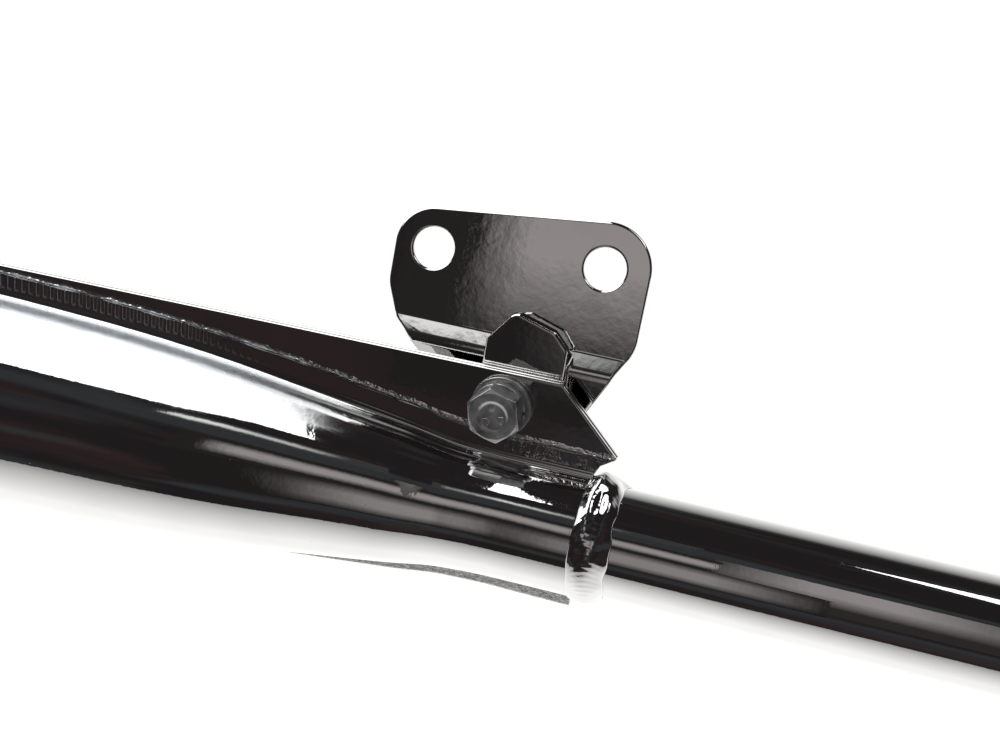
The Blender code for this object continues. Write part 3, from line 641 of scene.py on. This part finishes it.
def shell_sheet(x, depth, fillet, inward, track):
    """One skin of a half shell: flange, fillet, half round, fillet and lip, at each station x.

    The flange runs from its edge to the fillet at y = depth. The fillet is an arc of this radius
    about (depth + outer fillet, root), and the half round is an arc of the body's radius less
    inward, pushed in and out a little by slow waves. The seam track is pressed in by track.
    """
    radius = body_radius(x)
    centre_z = np.sqrt((radius + ROOT_FILLET) ** 2 - FILLET_Y**2)
    lean = np.arctan2(centre_z, FILLET_Y)
    y, z = np.empty_like(x), np.empty_like(x)
    a, b = FLANGE_COLUMNS, FLANGE_COLUMNS + FILLET_COLUMNS
    c, d = b + ROUND_COLUMNS, b + ROUND_COLUMNS + FILLET_COLUMNS

    share = np.linspace(1, 0, FLANGE_COLUMNS, endpoint=False) ** 1.3
    top = top_edge(x[:, :a]) - EDGE
    z[:, :a] = centre_z[:, :a] + (top - centre_z[:, :a]) * share
    above = z[:, :a] - centre_z[:, :a]
    wander = 0.25 * MM * np.sin(x[:, :a] * 310) * np.sin(x[:, :a] * 123 + 1)
    beyond = above + wander - TRACK_WIDTH
    press = smooth_step(above / (0.6 * MM)) * (1 - smooth_step(beyond / (0.5 * MM)))
    ridge = np.exp(-(((beyond - 0.7 * MM) / (0.35 * MM)) ** 2)) * 0.5
    rear_fade = 1 - 0.6 * smooth_step((-x[:, :a] - 190 * MM) / (40 * MM))
    y[:, :a] = depth - track * (press - ridge) * rear_fade

    turn = math.pi + lean[:, a:b] * np.arange(FILLET_COLUMNS) / FILLET_COLUMNS
    y[:, a:b] = FILLET_Y + fillet * np.cos(turn)
    z[:, a:b] = centre_z[:, a:b] + fillet * np.sin(turn)

    t = np.linspace(0, 1, ROUND_COLUMNS)
    angle = lean[:, b:c] * (1 - 2 * t)
    xs = x[:, b:c]
    wave = np.sin(xs * 95 + angle * 1.7) + 0.6 * np.sin(xs * 171 - angle * 2.9 + 2)
    wave = wave * 0.05 * MM * np.sin(math.pi * t) ** 0.5 * smooth_step((-xs - 4 * MM) / (20 * MM))
    round_radius = radius[:, b:c] - inward + wave
    y[:, b:c] = round_radius * np.cos(angle)
    z[:, b:c] = round_radius * np.sin(angle)

    turn = math.pi + lean[:, c:d] * np.arange(FILLET_COLUMNS - 1, -1, -1) / FILLET_COLUMNS
    y[:, c:d] = FILLET_Y + fillet * np.cos(turn)
    z[:, c:d] = -centre_z[:, c:d] - fillet * np.sin(turn)

    share = np.arange(1, LIP_COLUMNS + 1) / LIP_COLUMNS
    bottom = bottom_edge(x[:, d:]) + EDGE
    z[:, d:] = -centre_z[:, d:] + (bottom + centre_z[:, d:]) * share
    y[:, d:] = depth
    return np.stack((x, y, z), -1)


def rim_between(first, second, rise):
    """Half an ellipse of points from one skin's edge to the other's, standing out by rise along Z."""
    half = (first - second) / 2
    points = (first + second)[:, None] / 2 + half[:, None] * np.cos(RIM)[None, :, None]
    points[..., 2] += rise * np.sin(RIM)
    return points


def shell_points(side):
    """A closed grid over one half shell: rows along X, and columns round its section.

    Rows from the tail to the neck share one station each. In front of that each column runs on to
    the slanted front edge at its own height, and the last rows close the sheet's rounded end.
    """
    columns = FLANGE_COLUMNS + 2 * FILLET_COLUMNS + ROUND_COLUMNS + LIP_COLUMNS
    coarse = np.linspace(TAIL_END + EDGE, MESH_STEP, 60, endpoint=False)
    behind = np.concatenate((coarse, np.linspace(MESH_STEP, NECK_START, 150)))
    probe = np.full((1, columns), -14 * MM)
    height = shell_sheet(probe, OUTSIDE, ROOT_FILLET, 0, 0)[0, :, 2]
    cut_heights = np.array((-60, -19, -17.4, 17.2, 20.8, 23.6, 60)) * MM
    cut_stations = np.array((-2.6, -1.8, -1.2, -1.2, 0.5, 4.6, -31.8)) * MM
    front = np.interp(height, cut_heights, cut_stations) - EDGE
    ahead = NECK_START + (front[None] - NECK_START) * np.linspace(0, 1, 45)[1:, None]
    x = np.concatenate((np.repeat(behind[:, None], columns, 1), ahead))
    sheet, track = settings().sheet, settings().track_depth
    outside = shell_sheet(x, OUTSIDE, ROOT_FILLET, 0, track)
    inside = shell_sheet(x, FACE, ROOT_FILLET + sheet, sheet, 0)
    halfway = (outside + inside) / 2
    lower = rim_between(outside[:, -1], inside[:, -1], -EDGE)
    upper = rim_between(inside[:, 0], outside[:, 0], EDGE)
    section = np.concatenate((outside, lower, inside[:, ::-1], upper), 1)
    low_end, high_end = (np.repeat(end, len(RIM), 1) for end in (halfway[:, -1:], halfway[:, :1]))
    spine = np.concatenate((halfway, low_end, halfway[:, ::-1], high_end), 1)
    ends = np.linspace(0, math.pi / 2, 5)[1:, None, None]
    forward = spine[-1] + (section[-1] - spine[-1]) * np.cos(ends)
    forward[..., 0] += EDGE * np.sin(ends[..., 0])
    back = (spine[0] + (section[0] - spine[0]) * np.cos(ends))[::-1]
    back[..., 0] -= EDGE * np.sin(ends[::-1, :, 0])
    points = np.concatenate((back, section, forward))
    points[..., 1] *= side
    along, out, up = points[..., 0], np.abs(points[..., 1]), points[..., 2]
    root = np.sqrt((body_radius(along) + ROOT_FILLET) ** 2 - FILLET_Y**2)
    outer_face = (out > 1.0 * MM) & (out < FLAT_LIMIT)
    above = np.where(outer_face & (up > 0), up - root, -0.01)
    lip = np.where((out < FLAT_LIMIT) & (up < 0), 1.0, 0.0)
    # The root field marks the band below the flange root: real grinding marks, and also where the
    # chrome paints a bluish reflection.
    grinding_and_blue_reflection = smooth_step((6.0 * MM - (root - up)) / (1.2 * MM)) * ((out >= FLAT_LIMIT) & (up > 0))
    grinding_and_blue_reflection = grinding_and_blue_reflection * (1 - smooth_step((along + 115 * MM) / (65 * MM)))
    return weld_place(points), {"along": along, "above": above, "lip": lip, "root": grinding_and_blue_reflection}


class EXHAUST_OT_half_shells(bpy.types.Operator):
    """Both pressed half shells, with their seam flanges and the seam rollers' track"""

    bl_idname = "exhaust.half_shells"
    bl_label = "Half shells"

    def execute(self, context):
        material = chrome_finish("shell chrome", settings().chrome, 1.0, track=True)
        for name, node, side in (
            ("outer_shell", "outer_half_shell", -1),
            ("inner_shell", "inner_half_shell", 1),
        ):
            points, fields = shell_points(side)
            shell = surface(name, points, close_columns=True, fields=fields, sharp=60)
            finish_piece(shell, material, "muffler", "chrome", node)
        return {"FINISHED"}


# ------------------------------------------------------------------ header pipe and its flange


def header_line(s, bend):
    """Points and upward directions on the pipe's centre line at lengths s from the neck weld.

    Straight to 150 mm, then an arc of the bend radius that turns up by a quarter, then straight up.
    """
    straight, arc = 150 * MM, bend * math.pi / 2
    turn = np.clip((s - straight) / bend, 0, math.pi / 2)
    x = np.minimum(s, straight) + bend * np.sin(turn)
    z = bend * (1 - np.cos(turn)) + np.maximum(0, s - straight - arc)
    up = np.stack((-np.sin(turn), np.zeros_like(s), np.cos(turn)), -1)
    return np.stack((x, np.zeros_like(s), z), -1), up


class EXHAUST_OT_header(bpy.types.Operator):
    """The header pipe and its port flange"""

    bl_idname = "exhaust.header"
    bl_label = "Header pipe and flange"

    def execute(self, context):
        size = settings()
        bend, outer = size.bend_radius, size.pipe_radius
        rise = PORT_HIGH.z - AXIS_Z - bend - 0.5 * MM
        length = 150 * MM + bend * math.pi / 2 + rise
        rows = np.concatenate(
            (np.linspace(-14 * MM, 150 * MM, 90, endpoint=False), np.linspace(150 * MM, length, 90))
        )
        inner = outer - size.pipe_wall
        rim = np.linspace(0, math.pi, 9)
        end_s = np.concatenate((rows, length + 0.3 * MM * np.sin(rim[1:-1])))
        end_r = (outer + inner) / 2 + (outer - inner) / 2 * np.cos(rim[1:-1])
        s = np.concatenate((end_s, rows[::-1], -14 * MM - 0.3 * MM * np.sin(rim[1:-1])))
        radius = np.concatenate(
            (np.full(len(rows), outer), end_r, np.full(len(rows), inner), end_r[::-1])
        )
        centre, up = header_line(s, bend)
        angle = np.arange(size.around) / size.around * math.tau
        drawn = np.sin(s[:, None] * 61 + angle) + 0.7 * np.sin(s[:, None] * 113 - 2 * angle)
        swell = radius[:, None] + 0.012 * MM * drawn
        across = np.stack((np.zeros_like(angle), -np.cos(angle), np.zeros_like(angle)), -1)
        points = centre[:, None] + swell[..., None] * (
            across[None] + np.sin(angle)[None, :, None] * up[:, None]
        )
        pipe = surface("header", weld_place(points), close_rows=True, close_columns=True, sharp=50)
        chrome = chrome_finish("pipe chrome", size.chrome, 0.7)
        finish_piece(pipe, chrome, "muffler", "chrome", "header_pipe")

        edges = [
            belt(((6.5 * MM, 0, 14.9 * MM), (0, 25 * MM, 8 * MM), (-6.5 * MM, 0, 14.9 * MM),
                  (0, -25 * MM, 8 * MM)), 160),
            ring(0, 0, outer + 0.3 * MM, 128),
            ring(0, 25 * MM, 3.4 * MM, 64),
            ring(0, -25 * MM, 3.4 * MM, 64),
        ]
        flange = plate("port_flange", edges, PORT_HIGH.z - PORT_LOW.z, 0.6 * MM)
        lift = np.array((0, 0, (PORT_HIGH.z + PORT_LOW.z) / 2), np.float32)
        set_points(flange, points_of(flange) + lift)
        weighted(flange)
        finish_piece(flange, chrome, "muffler", "chrome", "header_flange")
        return {"FINISHED"}


# ------------------------------------------------------------------ welds


def bead(name, axis, origin, toes, radii, crown, lumps, pitch, inner):
    """A weld bead round an axis, closed underneath.

    At angle a and share s across the bead it lies at toe + (other toe - toe) * s along the axis.
    Its radius runs straight from toe to toe, plus crown * sin(pi s)^0.8, plus crescent ripples
    |sin(pi (a r / pitch + 1.6 (2 s - 1)^2))| and round lumps.
    """
    facets = 300
    angle = (np.arange(facets) / facets * math.tau)[:, None]
    s = np.linspace(0, 1, 41)[None]
    wobble = 0.35 * np.sin(3 * angle + 1) + 0.22 * np.sin(7 * angle) + 0.15 * np.sin(13 * angle + 2)
    low = toes[0] - wobble * 0.5 * MM
    high = toes[1] + wobble * MM
    along = low + (high - low) * s
    hump = np.sin(math.pi * s) ** 0.8
    ripple = np.abs(np.sin(math.pi * (angle * radii[0] / pitch + 1.6 * (2 * s - 1) ** 2)))
    radius = radii[0] + (radii[1] - radii[0]) * s + crown * hump * (1 + 0.18 * np.sin(5 * angle))
    radius = radius + hump * (0.06 * MM * (1 - ripple) + bumps(angle, s, lumps))
    under = low + (high - low) * np.linspace(1, 0, 6)[None]
    along = np.concatenate((along, under), 1)
    radius = np.concatenate((radius, np.full_like(under, inner)), 1)
    points = about(axis, origin, along, radius, angle)
    return surface(name, points, close_rows=True, close_columns=True, sharp=70)


class EXHAUST_OT_welds(bpy.types.Operator):
    """The weld beads at the neck, at the port flange and at the tail"""

    bl_idname = "exhaust.welds"
    bl_label = "Welds"

    def execute(self, context):
        size = settings()
        material = weld_finish("plated weld", size.chrome)
        deg = math.radians
        neck_lumps = (
            (deg(52), 0.22, 0.9 * MM, 0.30, 0.16), (deg(88), 0.30, 1.5 * MM, 0.28, 0.30),
            (deg(58), 0.78, 0.9 * MM, 0.22, 0.14), (deg(84), 0.85, 1.0 * MM, 0.16, 0.14),
            (deg(60), 0.50, -0.7 * MM, 0.20, 0.12), (deg(34), 0.45, -0.4 * MM, 0.16, 0.2),
            (deg(12), 0.62, 0.5 * MM, 0.22, 0.22), (deg(-18), 0.35, 0.4 * MM, 0.3, 0.3),
            (deg(-48), 0.6, 0.5 * MM, 0.3, 0.3), (deg(130), 0.5, 0.7 * MM, 0.4, 0.3),
            (deg(175), 0.4, 0.5 * MM, 0.3, 0.25), (deg(220), 0.6, 0.6 * MM, 0.35, 0.3),
        )
        neck = bead(
            "neck_bead", "x", (WELD_X, 0, AXIS_Z), (-1.7 * MM, 8.2 * MM), (16.75 * MM, 15.1 * MM),
            1.35 * MM, neck_lumps, 1.7 * MM, 15.05 * MM,
        )
        finish_piece(neck, material, "muffler", "chrome", "neck_weld")
        port = bead(
            "port_bead", "z", (0, 0, PORT_LOW.z), (-4.0 * MM, 0.1 * MM), (15.1 * MM, 17.8 * MM),
            0.9 * MM, ((1.0, 0.5, 0.4 * MM, 0.3, 0.3), (3.6, 0.4, 0.5 * MM, 0.4, 0.3)),
            1.6 * MM, 15.05 * MM,
        )
        finish_piece(port, material, "muffler", "chrome", "header_flange_weld")
        tail_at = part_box("tail_weld")[1].x
        tail = bead(
            "tail_bead", "x", (tail_at, 0, AXIS_Z), (-4.5 * MM, 0.6 * MM), (14.1 * MM, 15.5 * MM),
            0.9 * MM, ((0.4, 0.5, 0.4 * MM, 0.3, 0.3), (2.6, 0.6, 0.5 * MM, 0.4, 0.3),
                       (4.4, 0.4, 0.4 * MM, 0.4, 0.3)),
            1.7 * MM, 14.05 * MM,
        )
        finish_piece(tail, material, "muffler", "chrome", "tail_weld")
        return {"FINISHED"}


# ------------------------------------------------------------------ ear, bracket and bolt

BRACKET_FOLDS = ((15.3 * MM, math.radians(-17), 4 * MM), (10.1 * MM, math.radians(34), 4 * MM))


class EXHAUST_OT_plates(bpy.types.Operator):
    """The ear behind the seam flange and the frame bracket bolted to it"""

    bl_idname = "exhaust.plates"
    bl_label = "Ear and bracket"

    def execute(self, context):
        size = settings()
        material = chrome_finish("plate chrome", size.chrome, 1.5)
        bolt_x, bolt_z = BOLT.x - WELD_X, BOLT.z - AXIS_Z
        ear_y = (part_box("mounting_ear")[0].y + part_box("mounting_ear")[1].y) / 2
        pulleys = np.array(
            ((-34.0, 22.5, 2), (-15.8, 22.5, 2), (-15.0, 48.0, 2), (-18.0, 51.2, 2),
             (-26.9, 52.8, 3), (-32.8, 46.8, 2))
        ) * MM
        edges = [belt(pulleys, 150), ring(bolt_x, bolt_z, 4.3 * MM, 64)]
        ear = plate("ear", edges, size.plate, size.edge_round)
        weighted(stand_up(ear, WELD_X, ear_y, AXIS_Z))
        finish_piece(ear, material, "muffler", "chrome", "mounting_ear")

        left, right = np.array((-27.8, 34.2)) * MM, np.array((18.2, 37.8)) * MM
        pulleys = (
            (0, 0, 12.6 * MM), (10.8 * MM, -2.4 * MM, 7.9 * MM),
            (right[0], right[1] - 16.2 * MM, 12.3 * MM), (*right, 12.3 * MM), (*left, 10.8 * MM),
            (left[0] + 0.2 * MM, left[1] - 8.6 * MM, 10.8 * MM),
            (left[0] - 2.5 * MM, left[1] - 17.5 * MM, 4.8 * MM),
        )
        edges = [
            belt(pulleys, 260), ring(0, 0, 4.3 * MM, 64),
            ring(*left, 5.5 * MM, 120), ring(*right, 5.5 * MM, 120),
        ]
        bracket = plate("frame_bracket", edges, size.plate, size.edge_round, BRACKET_FOLDS, 8)
        weighted(stand_up(bracket, BOLT.x, PLATE_BACK - size.plate / 2, BOLT.z))
        finish_piece(bracket, material, "bracket", "chrome", "mounting_bracket")
        return {"FINISHED"}


def hexagon_radius(angle, across, first_corner):
    """The radius of a hexagon: half the width over cos of the angle from the nearest flat."""
    from_flat = np.mod(angle - first_corner, math.pi / 3) - math.pi / 6
    return across / 2 / np.cos(from_flat)


def hex_points(origin, across, height, first_corner, dish, shank):
    """A hexagon with turned corners: rows by angle, columns from the middle of the top to below.

    The top falls by (r - 0.96 half width) * tan 30 degrees beyond the chamfer circle, and the dish
    is a shallow round hollow. Low swellings in the dish stand for the forge's plain marks. Below
    the head the shank's (radius, along) corners follow.
    """
    angle = (np.arange(192) / 192 * math.tau)[:, None]
    rim = hexagon_radius(angle, across, first_corner)
    circle = across / 2 * 0.96
    slope = math.tan(math.radians(30))
    inner = np.linspace(0, 1, 18)[None] * circle * np.ones_like(angle)
    hollow = dish * (1 - smooth_step((inner - 3.4 * MM) / (0.9 * MM)))
    marks = 0.16 * MM * (
        np.exp(-(((inner - 2.3 * MM) / (0.7 * MM)) ** 2)) * (np.cos(3 * angle + 0.7) > 0.45)
    )
    soft = 0.25 * MM
    outer = circle + (rim - soft - circle) * np.linspace(0, 1, 7)[None, 1:]
    radius = [inner, outer]
    level = [height - hollow + marks, height - (outer - circle) * slope]
    edge = height - (rim - soft - circle) * slope
    b = np.linspace(0, math.pi / 2, 5)[None, 1:]
    radius += [rim - soft * (1 - np.sin(b)), rim - soft * (1 - np.cos(b))]
    level += [edge - soft * (1 - np.cos(b)), (soft - soft * np.sin(b)) * np.ones_like(angle)]
    below = rounded(((circle, 0), *shank), 0.4 * MM)[None] * np.ones_like(angle)[..., None]
    radius = np.concatenate((*radius, below[..., 0]), 1)
    level = np.concatenate((*level, below[..., 1]), 1)
    return about("y", origin, level, radius, angle)


class EXHAUST_OT_bolt(bpy.types.Operator):
    """The bracket's bolt with its spring washer, washers and nut"""

    bl_idname = "exhaust.bolt"
    bl_label = "Bolt, washers and nut"

    def execute(self, context):
        zinc = zinc_finish("dull zinc", settings().zinc)
        nodes = {name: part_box(name) for name in (
            "bracket_bolt", "bolt_washer", "bolt_spring_washer", "nut_washer", "bracket_nut")}
        head_face, shank_end = nodes["bracket_bolt"][0].y, nodes["bracket_bolt"][1].y
        seat = head_face + 5.3 * MM
        end = -(shank_end - seat)
        shank = ((4 * MM, 0), (4 * MM, end + 0.8 * MM), (3.2 * MM, end), (0, end))
        corner = math.radians(-17)
        points = hex_points((BOLT.x, seat, BOLT.z), 13 * MM, 5.3 * MM, corner, 0.45 * MM, shank)
        bolt = weighted(surface("bolt", points, close_rows=True, sharp=35))
        finish_piece(bolt, zinc, "muffler", "zinc", "bracket_bolt")

        for name, node in (("washer", "bolt_washer"), ("washer_behind", "nut_washer")):
            low, high = nodes[node]
            thick = high.y - low.y
            profile = rounded(
                ((0, 6 * MM), (0, 4.3 * MM), (thick, 4.3 * MM), (thick, 8 * MM), (0, 8 * MM),
                 (0, 6 * MM)), 0.3 * MM, 4,
            )[:-1]
            washer = turned(name, "y", (BOLT.x, high.y, BOLT.z), profile)
            finish_piece(washer, zinc, "muffler", "zinc", node)

        low, high = nodes["bolt_spring_washer"]
        thick = high.y - low.y
        profile = rounded(
            ((0, 5.6 * MM), (0, 4.3 * MM), (thick, 4.3 * MM), (thick, 7 * MM), (0, 7 * MM),
             (0, 5.6 * MM)), 0.25 * MM, 3,
        )[:-1]
        slit = 0.35 * MM / (5.6 * MM)
        share = np.linspace(0, 1, 120)[:, None]
        lead = math.tan(math.radians(25)) * (profile[None, :, 0] - thick / 2) / (5.6 * MM)
        angle = slit + (math.tau - 2 * slit) * share + lead
        origin, centre = (BOLT.x, high.y, BOLT.z), profile.mean(0)
        body = about("y", origin, profile[None, :, 0], profile[None, :, 1], angle)
        caps = about("y", origin, centre[0], centre[1], np.array((slit, math.tau - slit)))
        points = np.concatenate(
            (np.repeat(caps[:1, None], body.shape[1], 1), body,
             np.repeat(caps[1:, None], body.shape[1], 1))
        )
        spring = weighted(surface("spring_washer", points, close_columns=True, sharp=50))
        finish_piece(spring, zinc, "muffler", "zinc", "bolt_spring_washer")

        low, high = nodes["bracket_nut"]
        angle = (np.arange(192) / 192 * math.tau)[:, None]
        rim = hexagon_radius(angle, 13 * MM, math.radians(-8))
        tall, circle = high.y - low.y, 6.24 * MM
        fall = (rim - circle) * math.tan(math.radians(30))
        bore, mouth, chamfer = 4.3 * MM, 4.9 * MM, 0.6 * MM
        rows = (
            (bore, tall / 2), (bore, tall - chamfer), (mouth, tall), (circle, tall),
            (rim - 0.2 * MM, tall - fall + 0.1 * MM), (rim, tall - fall - 0.2 * MM),
            (rim, fall + 0.2 * MM), (rim - 0.2 * MM, fall - 0.1 * MM),
            (circle, 0), (mouth, 0), (bore, chamfer),
        )
        radius, level = (
            np.concatenate([np.broadcast_to(row[part], angle.shape) for row in rows], 1)
            for part in (0, 1)
        )
        points = about("y", (BOLT.x, high.y, BOLT.z), level, radius, angle)
        nut = weighted(surface("nut", points, close_rows=True, close_columns=True, sharp=25))
        finish_piece(nut, zinc, "muffler", "zinc", "bracket_nut")
        return {"FINISHED"}


# ------------------------------------------------------------------ tail and insert


class EXHAUST_OT_tail(bpy.types.Operator):
    """The tail pipe, the insert's end ring and the finishes of the pieces kept from the frame"""

    bl_idname = "exhaust.tail"
    bl_label = "Tail and insides"

    def execute(self, context):
        size = settings()
        chrome = chrome_finish("tail chrome", size.chrome, 0.8)
        zinc = zinc_finish("ring zinc", size.zinc)
        steel = steel_finish("sheet steel", size.steel)
        origin = (0, 0, AXIS_Z)
        front, rear = TAIL_HIGH.x, TAIL_LOW.x
        profile = rounded(
            (((front + rear) / 2, 14 * MM), (rear, 14 * MM), (rear, 12.7 * MM),
             (front, 12.7 * MM), (front, 14 * MM), ((front + rear) / 2, 14 * MM)), 0.4 * MM, 5,
        )[:-1]
        tail = turned("outlet_pipe", "x", origin, profile)
        finish_piece(tail, chrome, "muffler", "chrome", "tail_pipe")

        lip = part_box("silencer_end_ring")[0].x + 2.4 * MM
        profile = rounded(
            ((lip + 8 * MM, 12.4 * MM), (lip, 12.4 * MM), (lip, 14 * MM),
             (lip - 1.4 * MM, 14 * MM), (lip - 2.4 * MM, 13 * MM), (lip - 2.4 * MM, 8.5 * MM),
             (lip - 1.6 * MM, 7.3 * MM), (lip + 16 * MM, 7.3 * MM), (lip + 16 * MM, 12.4 * MM),
             (lip + 8 * MM, 12.4 * MM)), 0.35 * MM, 5,
        )[:-1]
        end_ring = turned("insert_ring", "x", origin, profile)
        finish_piece(end_ring, zinc, "silencer_insert", "zinc", "silencer_end_ring")

        for node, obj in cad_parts.items():
            if obj.hide_render:
                continue
            slot = {"screw_boss": chrome, "retaining_screw": zinc}.get(node, steel)
            obj.data.materials.clear()
            obj.data.materials.append(slot)
        return {"FINISHED"}


# ------------------------------------------------------------------ stage


def glow(name, colour, strength, fades=(), least=0.0):
    """An emitting material: each fade (axis, dark at, full at) scales it down to the least share."""
    finish = Finish(name)
    finish.paint(Base_Color=(0, 0, 0, 1), Roughness=1.0, Specular_IOR_Level=0.0)
    finish.shader.inputs["Emission Strength"].default_value = strength
    finish.paint(Emission_Color=(*colour, 1.0))
    if fades:
        parts = finish.node("ShaderNodeSeparateXYZ", Vector=finish.place)
        share = 1.0
        for axis, dark, full in fades:
            share = finish.number(parts, axis).over(dark, full) * share
        dim = (*(part * least for part in colour), 1.0)
        finish.paint(Emission_Color=finish.mix(share, dim, (*colour, 1.0)))
    return finish.material


def card(name, corners, material, seen=False):
    """A flat four-cornered card of the studio, which the camera sees only in reflections."""
    points = np.array(corners, float)
    obj = put_mesh(name, points, np.array(((0, 1, 2, 3),)))
    obj.data.materials.append(material)
    obj.visible_camera = seen
    obj.visible_shadow = seen
    return obj


def level_card(name, height, corners, material, seen=False):
    """A level card through (x, y) corners."""
    return card(name, [(*corner, height) for corner in corners], material, seen)


WARM = (1.0, 0.93, 0.915)


def wall(name, colour, strength, y, low, high, fades, least):
    """An upright card in front of the exhaust, between two (x, z) corners."""
    (left, bottom), (right, top) = low, high
    corners = ((left, y, bottom), (right, y, bottom), (right, y, top), (left, y, top))
    card(name, corners, glow(name.replace("_", " "), colour, strength, fades, least))


class EXHAUST_OT_stage(bpy.types.Operator):
    """A pale floor, soft studio light and the camera"""

    bl_idname = "exhaust.stage"
    bl_label = "Stage"

    def execute(self, context):
        scene = context.scene
        world = bpy.data.worlds.new("studio")
        world.use_nodes = True
        world.node_tree.nodes["Background"].inputs["Color"].default_value = (0.03, 0.03, 0.03, 1)
        scene.world = world
        x, z = WELD_X, AXIS_Z
        floor_z = z - 0.26

        floor = glow("white floor", (1.0, 1.0, 0.985), 1.42, (("Y", -0.30, -0.02),), 0.3)
        corners = ((-6, 6), (-6, -0.29), (6, -0.29), (6, 6))
        level_card("floor_mirrored", floor_z, corners, floor)
        plain = glow("pale floor", (1, 1, 1), 1.05)
        corners = ((-6, 6), (-6, -6), (6, -6), (6, 6))
        level_card("floor", floor_z - 0.01, corners, plain, True).visible_glossy = False

        # The camera looks into a pale surround; the chrome mirrors a dark room.
        room = Finish("dark room")
        room.paint(Base_Color=(0, 0, 0, 1), Roughness=1.0, Specular_IOR_Level=0.0)
        room.shader.inputs["Emission Strength"].default_value = 1.0
        red, blue = room.noise(0.35, 3.0, 0.6), room.noise(0.22, 2.0, 0.5, (1, 1, 1.7))
        colour = room.mix(red.over(0.47, 0.68), (0.020, 0.018, 0.019, 1), (0.043, 0.026, 0.027, 1))
        colour = room.mix(blue.over(0.5, 0.62), colour, (0.042, 0.046, 0.050, 1))
        pale = glow("pale surround", (1, 1, 1), 1.05)
        for name, far, finish in (("dark_room", 8, room.paint(Emission_Color=colour)),
                                  ("surround", 9, pale)):
            t = np.linspace(0, math.tau, 49)
            e = np.linspace(-0.5, 0.5, 13)[:, None] * math.pi
            points = far * np.stack(
                (np.cos(e) * np.cos(t), np.cos(e) * np.sin(t), np.sin(e) * np.ones_like(t)), -1
            )
            dome = surface(name, points)
            dome.data.materials.append(finish)
            dome.visible_camera = name == "surround"
            dome.visible_glossy = name == "dark_room"
            dome.visible_diffuse = False
            dome.visible_shadow = False

        back = glow("back sweep fade", (1, 1, 1), 1.35, (("Z", z + 1.75, z + 0.05),), 0.03)
        card("back_sweep", ((-4, 1.5, floor_z), (4, 1.5, floor_z), (4, 1.5, z + 2.0),
                            (-4, 1.5, z + 2.0)), back)

        soft = glow("soft box", (1.0, 1.0, 1.0), 2.6)
        height = z + 0.6
        end = (x - 0.163, 0.175)
        corners = ((x - 1.6, -0.40), (x - 0.30, -0.38), end, (x - 1.6, 0.6))
        level_card("left_box", height, corners, soft)
        corners = ((x - 0.30, -0.38), (x - 0.125, -0.275), (x - 0.137, -0.04), end)
        level_card("left_box_corner", height, corners, soft)
        corners = ((x - 1.6, 0.6), end, (x - 0.19, 0.5), (x - 0.9, 0.8))
        level_card("left_box_end", height, corners, soft)
        corners = ((x + 0.070, 0.02), (x + 0.45, -0.30), (x + 0.45, 0.14), (x + 0.070, 0.03))
        level_card("right_box", height, corners, soft)

        # What the bracket's bent strip mirrors, then the neck, the bracket's face and the pipe.
        fades = (("X", x - 0.08, x - 0.19), ("Z", z + 0.50, z + 0.54), ("Z", z + 0.61, z + 0.57))
        wall("strip", (1.0, 1.0, 1.0), 1.1, -0.45, (x - 0.27, z + 0.47), (x - 0.03, z + 0.64),
             fades, 0.05)
        fades = (("X", x - 0.13, x - 0.055), ("Z", z + 0.12, z + 0.03),
                 ("Z", z - 0.15, z - 0.06), ("X", x + 0.06, x + 0.0))
        wall("warm_wall", WARM, 0.34, -0.45, (x - 0.20, z - 0.16), (x + 0.06, z + 0.12), fades, 0.06)
        fades = (("X", x - 0.172, x - 0.138), ("Z", z + 0.15, z + 0.205),
                 ("Z", z + 0.30, z + 0.25))
        wall("warm_wall_upper", WARM, 0.42, -0.455, (x - 0.21, z + 0.12), (x, z + 0.34), fades, 0.06)
        fades = (("X", x - 0.01, x + 0.05), ("X", x + 0.19, x + 0.10), ("Z", z + 0.02, z + 0.2))
        wall("warm_wall_right", WARM, 0.40, -0.46, (x - 0.02, z - 0.1), (x + 0.2, z + 0.4),
             fades, 0.09)

        camera = bpy.data.cameras.new("camera")
        camera.lens = 62.7
        camera.sensor_width = 36.0
        camera.clip_start = 0.01
        camera.clip_end = 60.0
        eye = bpy.data.objects.new("camera", camera)
        eye.location = (x + 0.06883, -0.40826, z + 0.20325)
        eye.rotation_euler = (1.195255, -0.123524, 0.284703)
        scene.collection.objects.link(eye)
        scene.camera = eye
        scene.view_settings.view_transform = "Standard"
        scene.view_settings.look = "None"
        return {"FINISHED"}


# ------------------------------------------------------------------ panel and registration

OPERATORS = (
    EXHAUST_OT_half_shells,
    EXHAUST_OT_header,
    EXHAUST_OT_welds,
    EXHAUST_OT_plates,
    EXHAUST_OT_bolt,
    EXHAUST_OT_tail,
    EXHAUST_OT_stage,
)


class EXHAUST_PT_panel(bpy.types.Panel):
    """The exhaust's pieces and settings"""

    bl_idname = "EXHAUST_PT_panel"
    bl_label = "Chrome exhaust"
    bl_space_type = "VIEW_3D"
    bl_region_type = "UI"
    bl_category = "Exhaust"

    def draw(self, context):
        for operator in OPERATORS:
            self.layout.operator(operator.bl_idname)
        for name in ExhaustSettings.__annotations__:
            self.layout.prop(context.scene.exhaust, name)


CLASSES = (ExhaustSettings, *OPERATORS, EXHAUST_PT_panel)


def register():
    for cls in CLASSES:
        bpy.utils.register_class(cls)
    bpy.types.Scene.exhaust = PointerProperty(type=ExhaustSettings)


def unregister():
    del bpy.types.Scene.exhaust
    for cls in reversed(CLASSES):
        bpy.utils.unregister_class(cls)


def main():
    register()
    for operator in OPERATORS:
        group, name = operator.bl_idname.split(".")
        getattr(getattr(bpy.ops, group), name)()


if __name__ == "__main__":
    main()
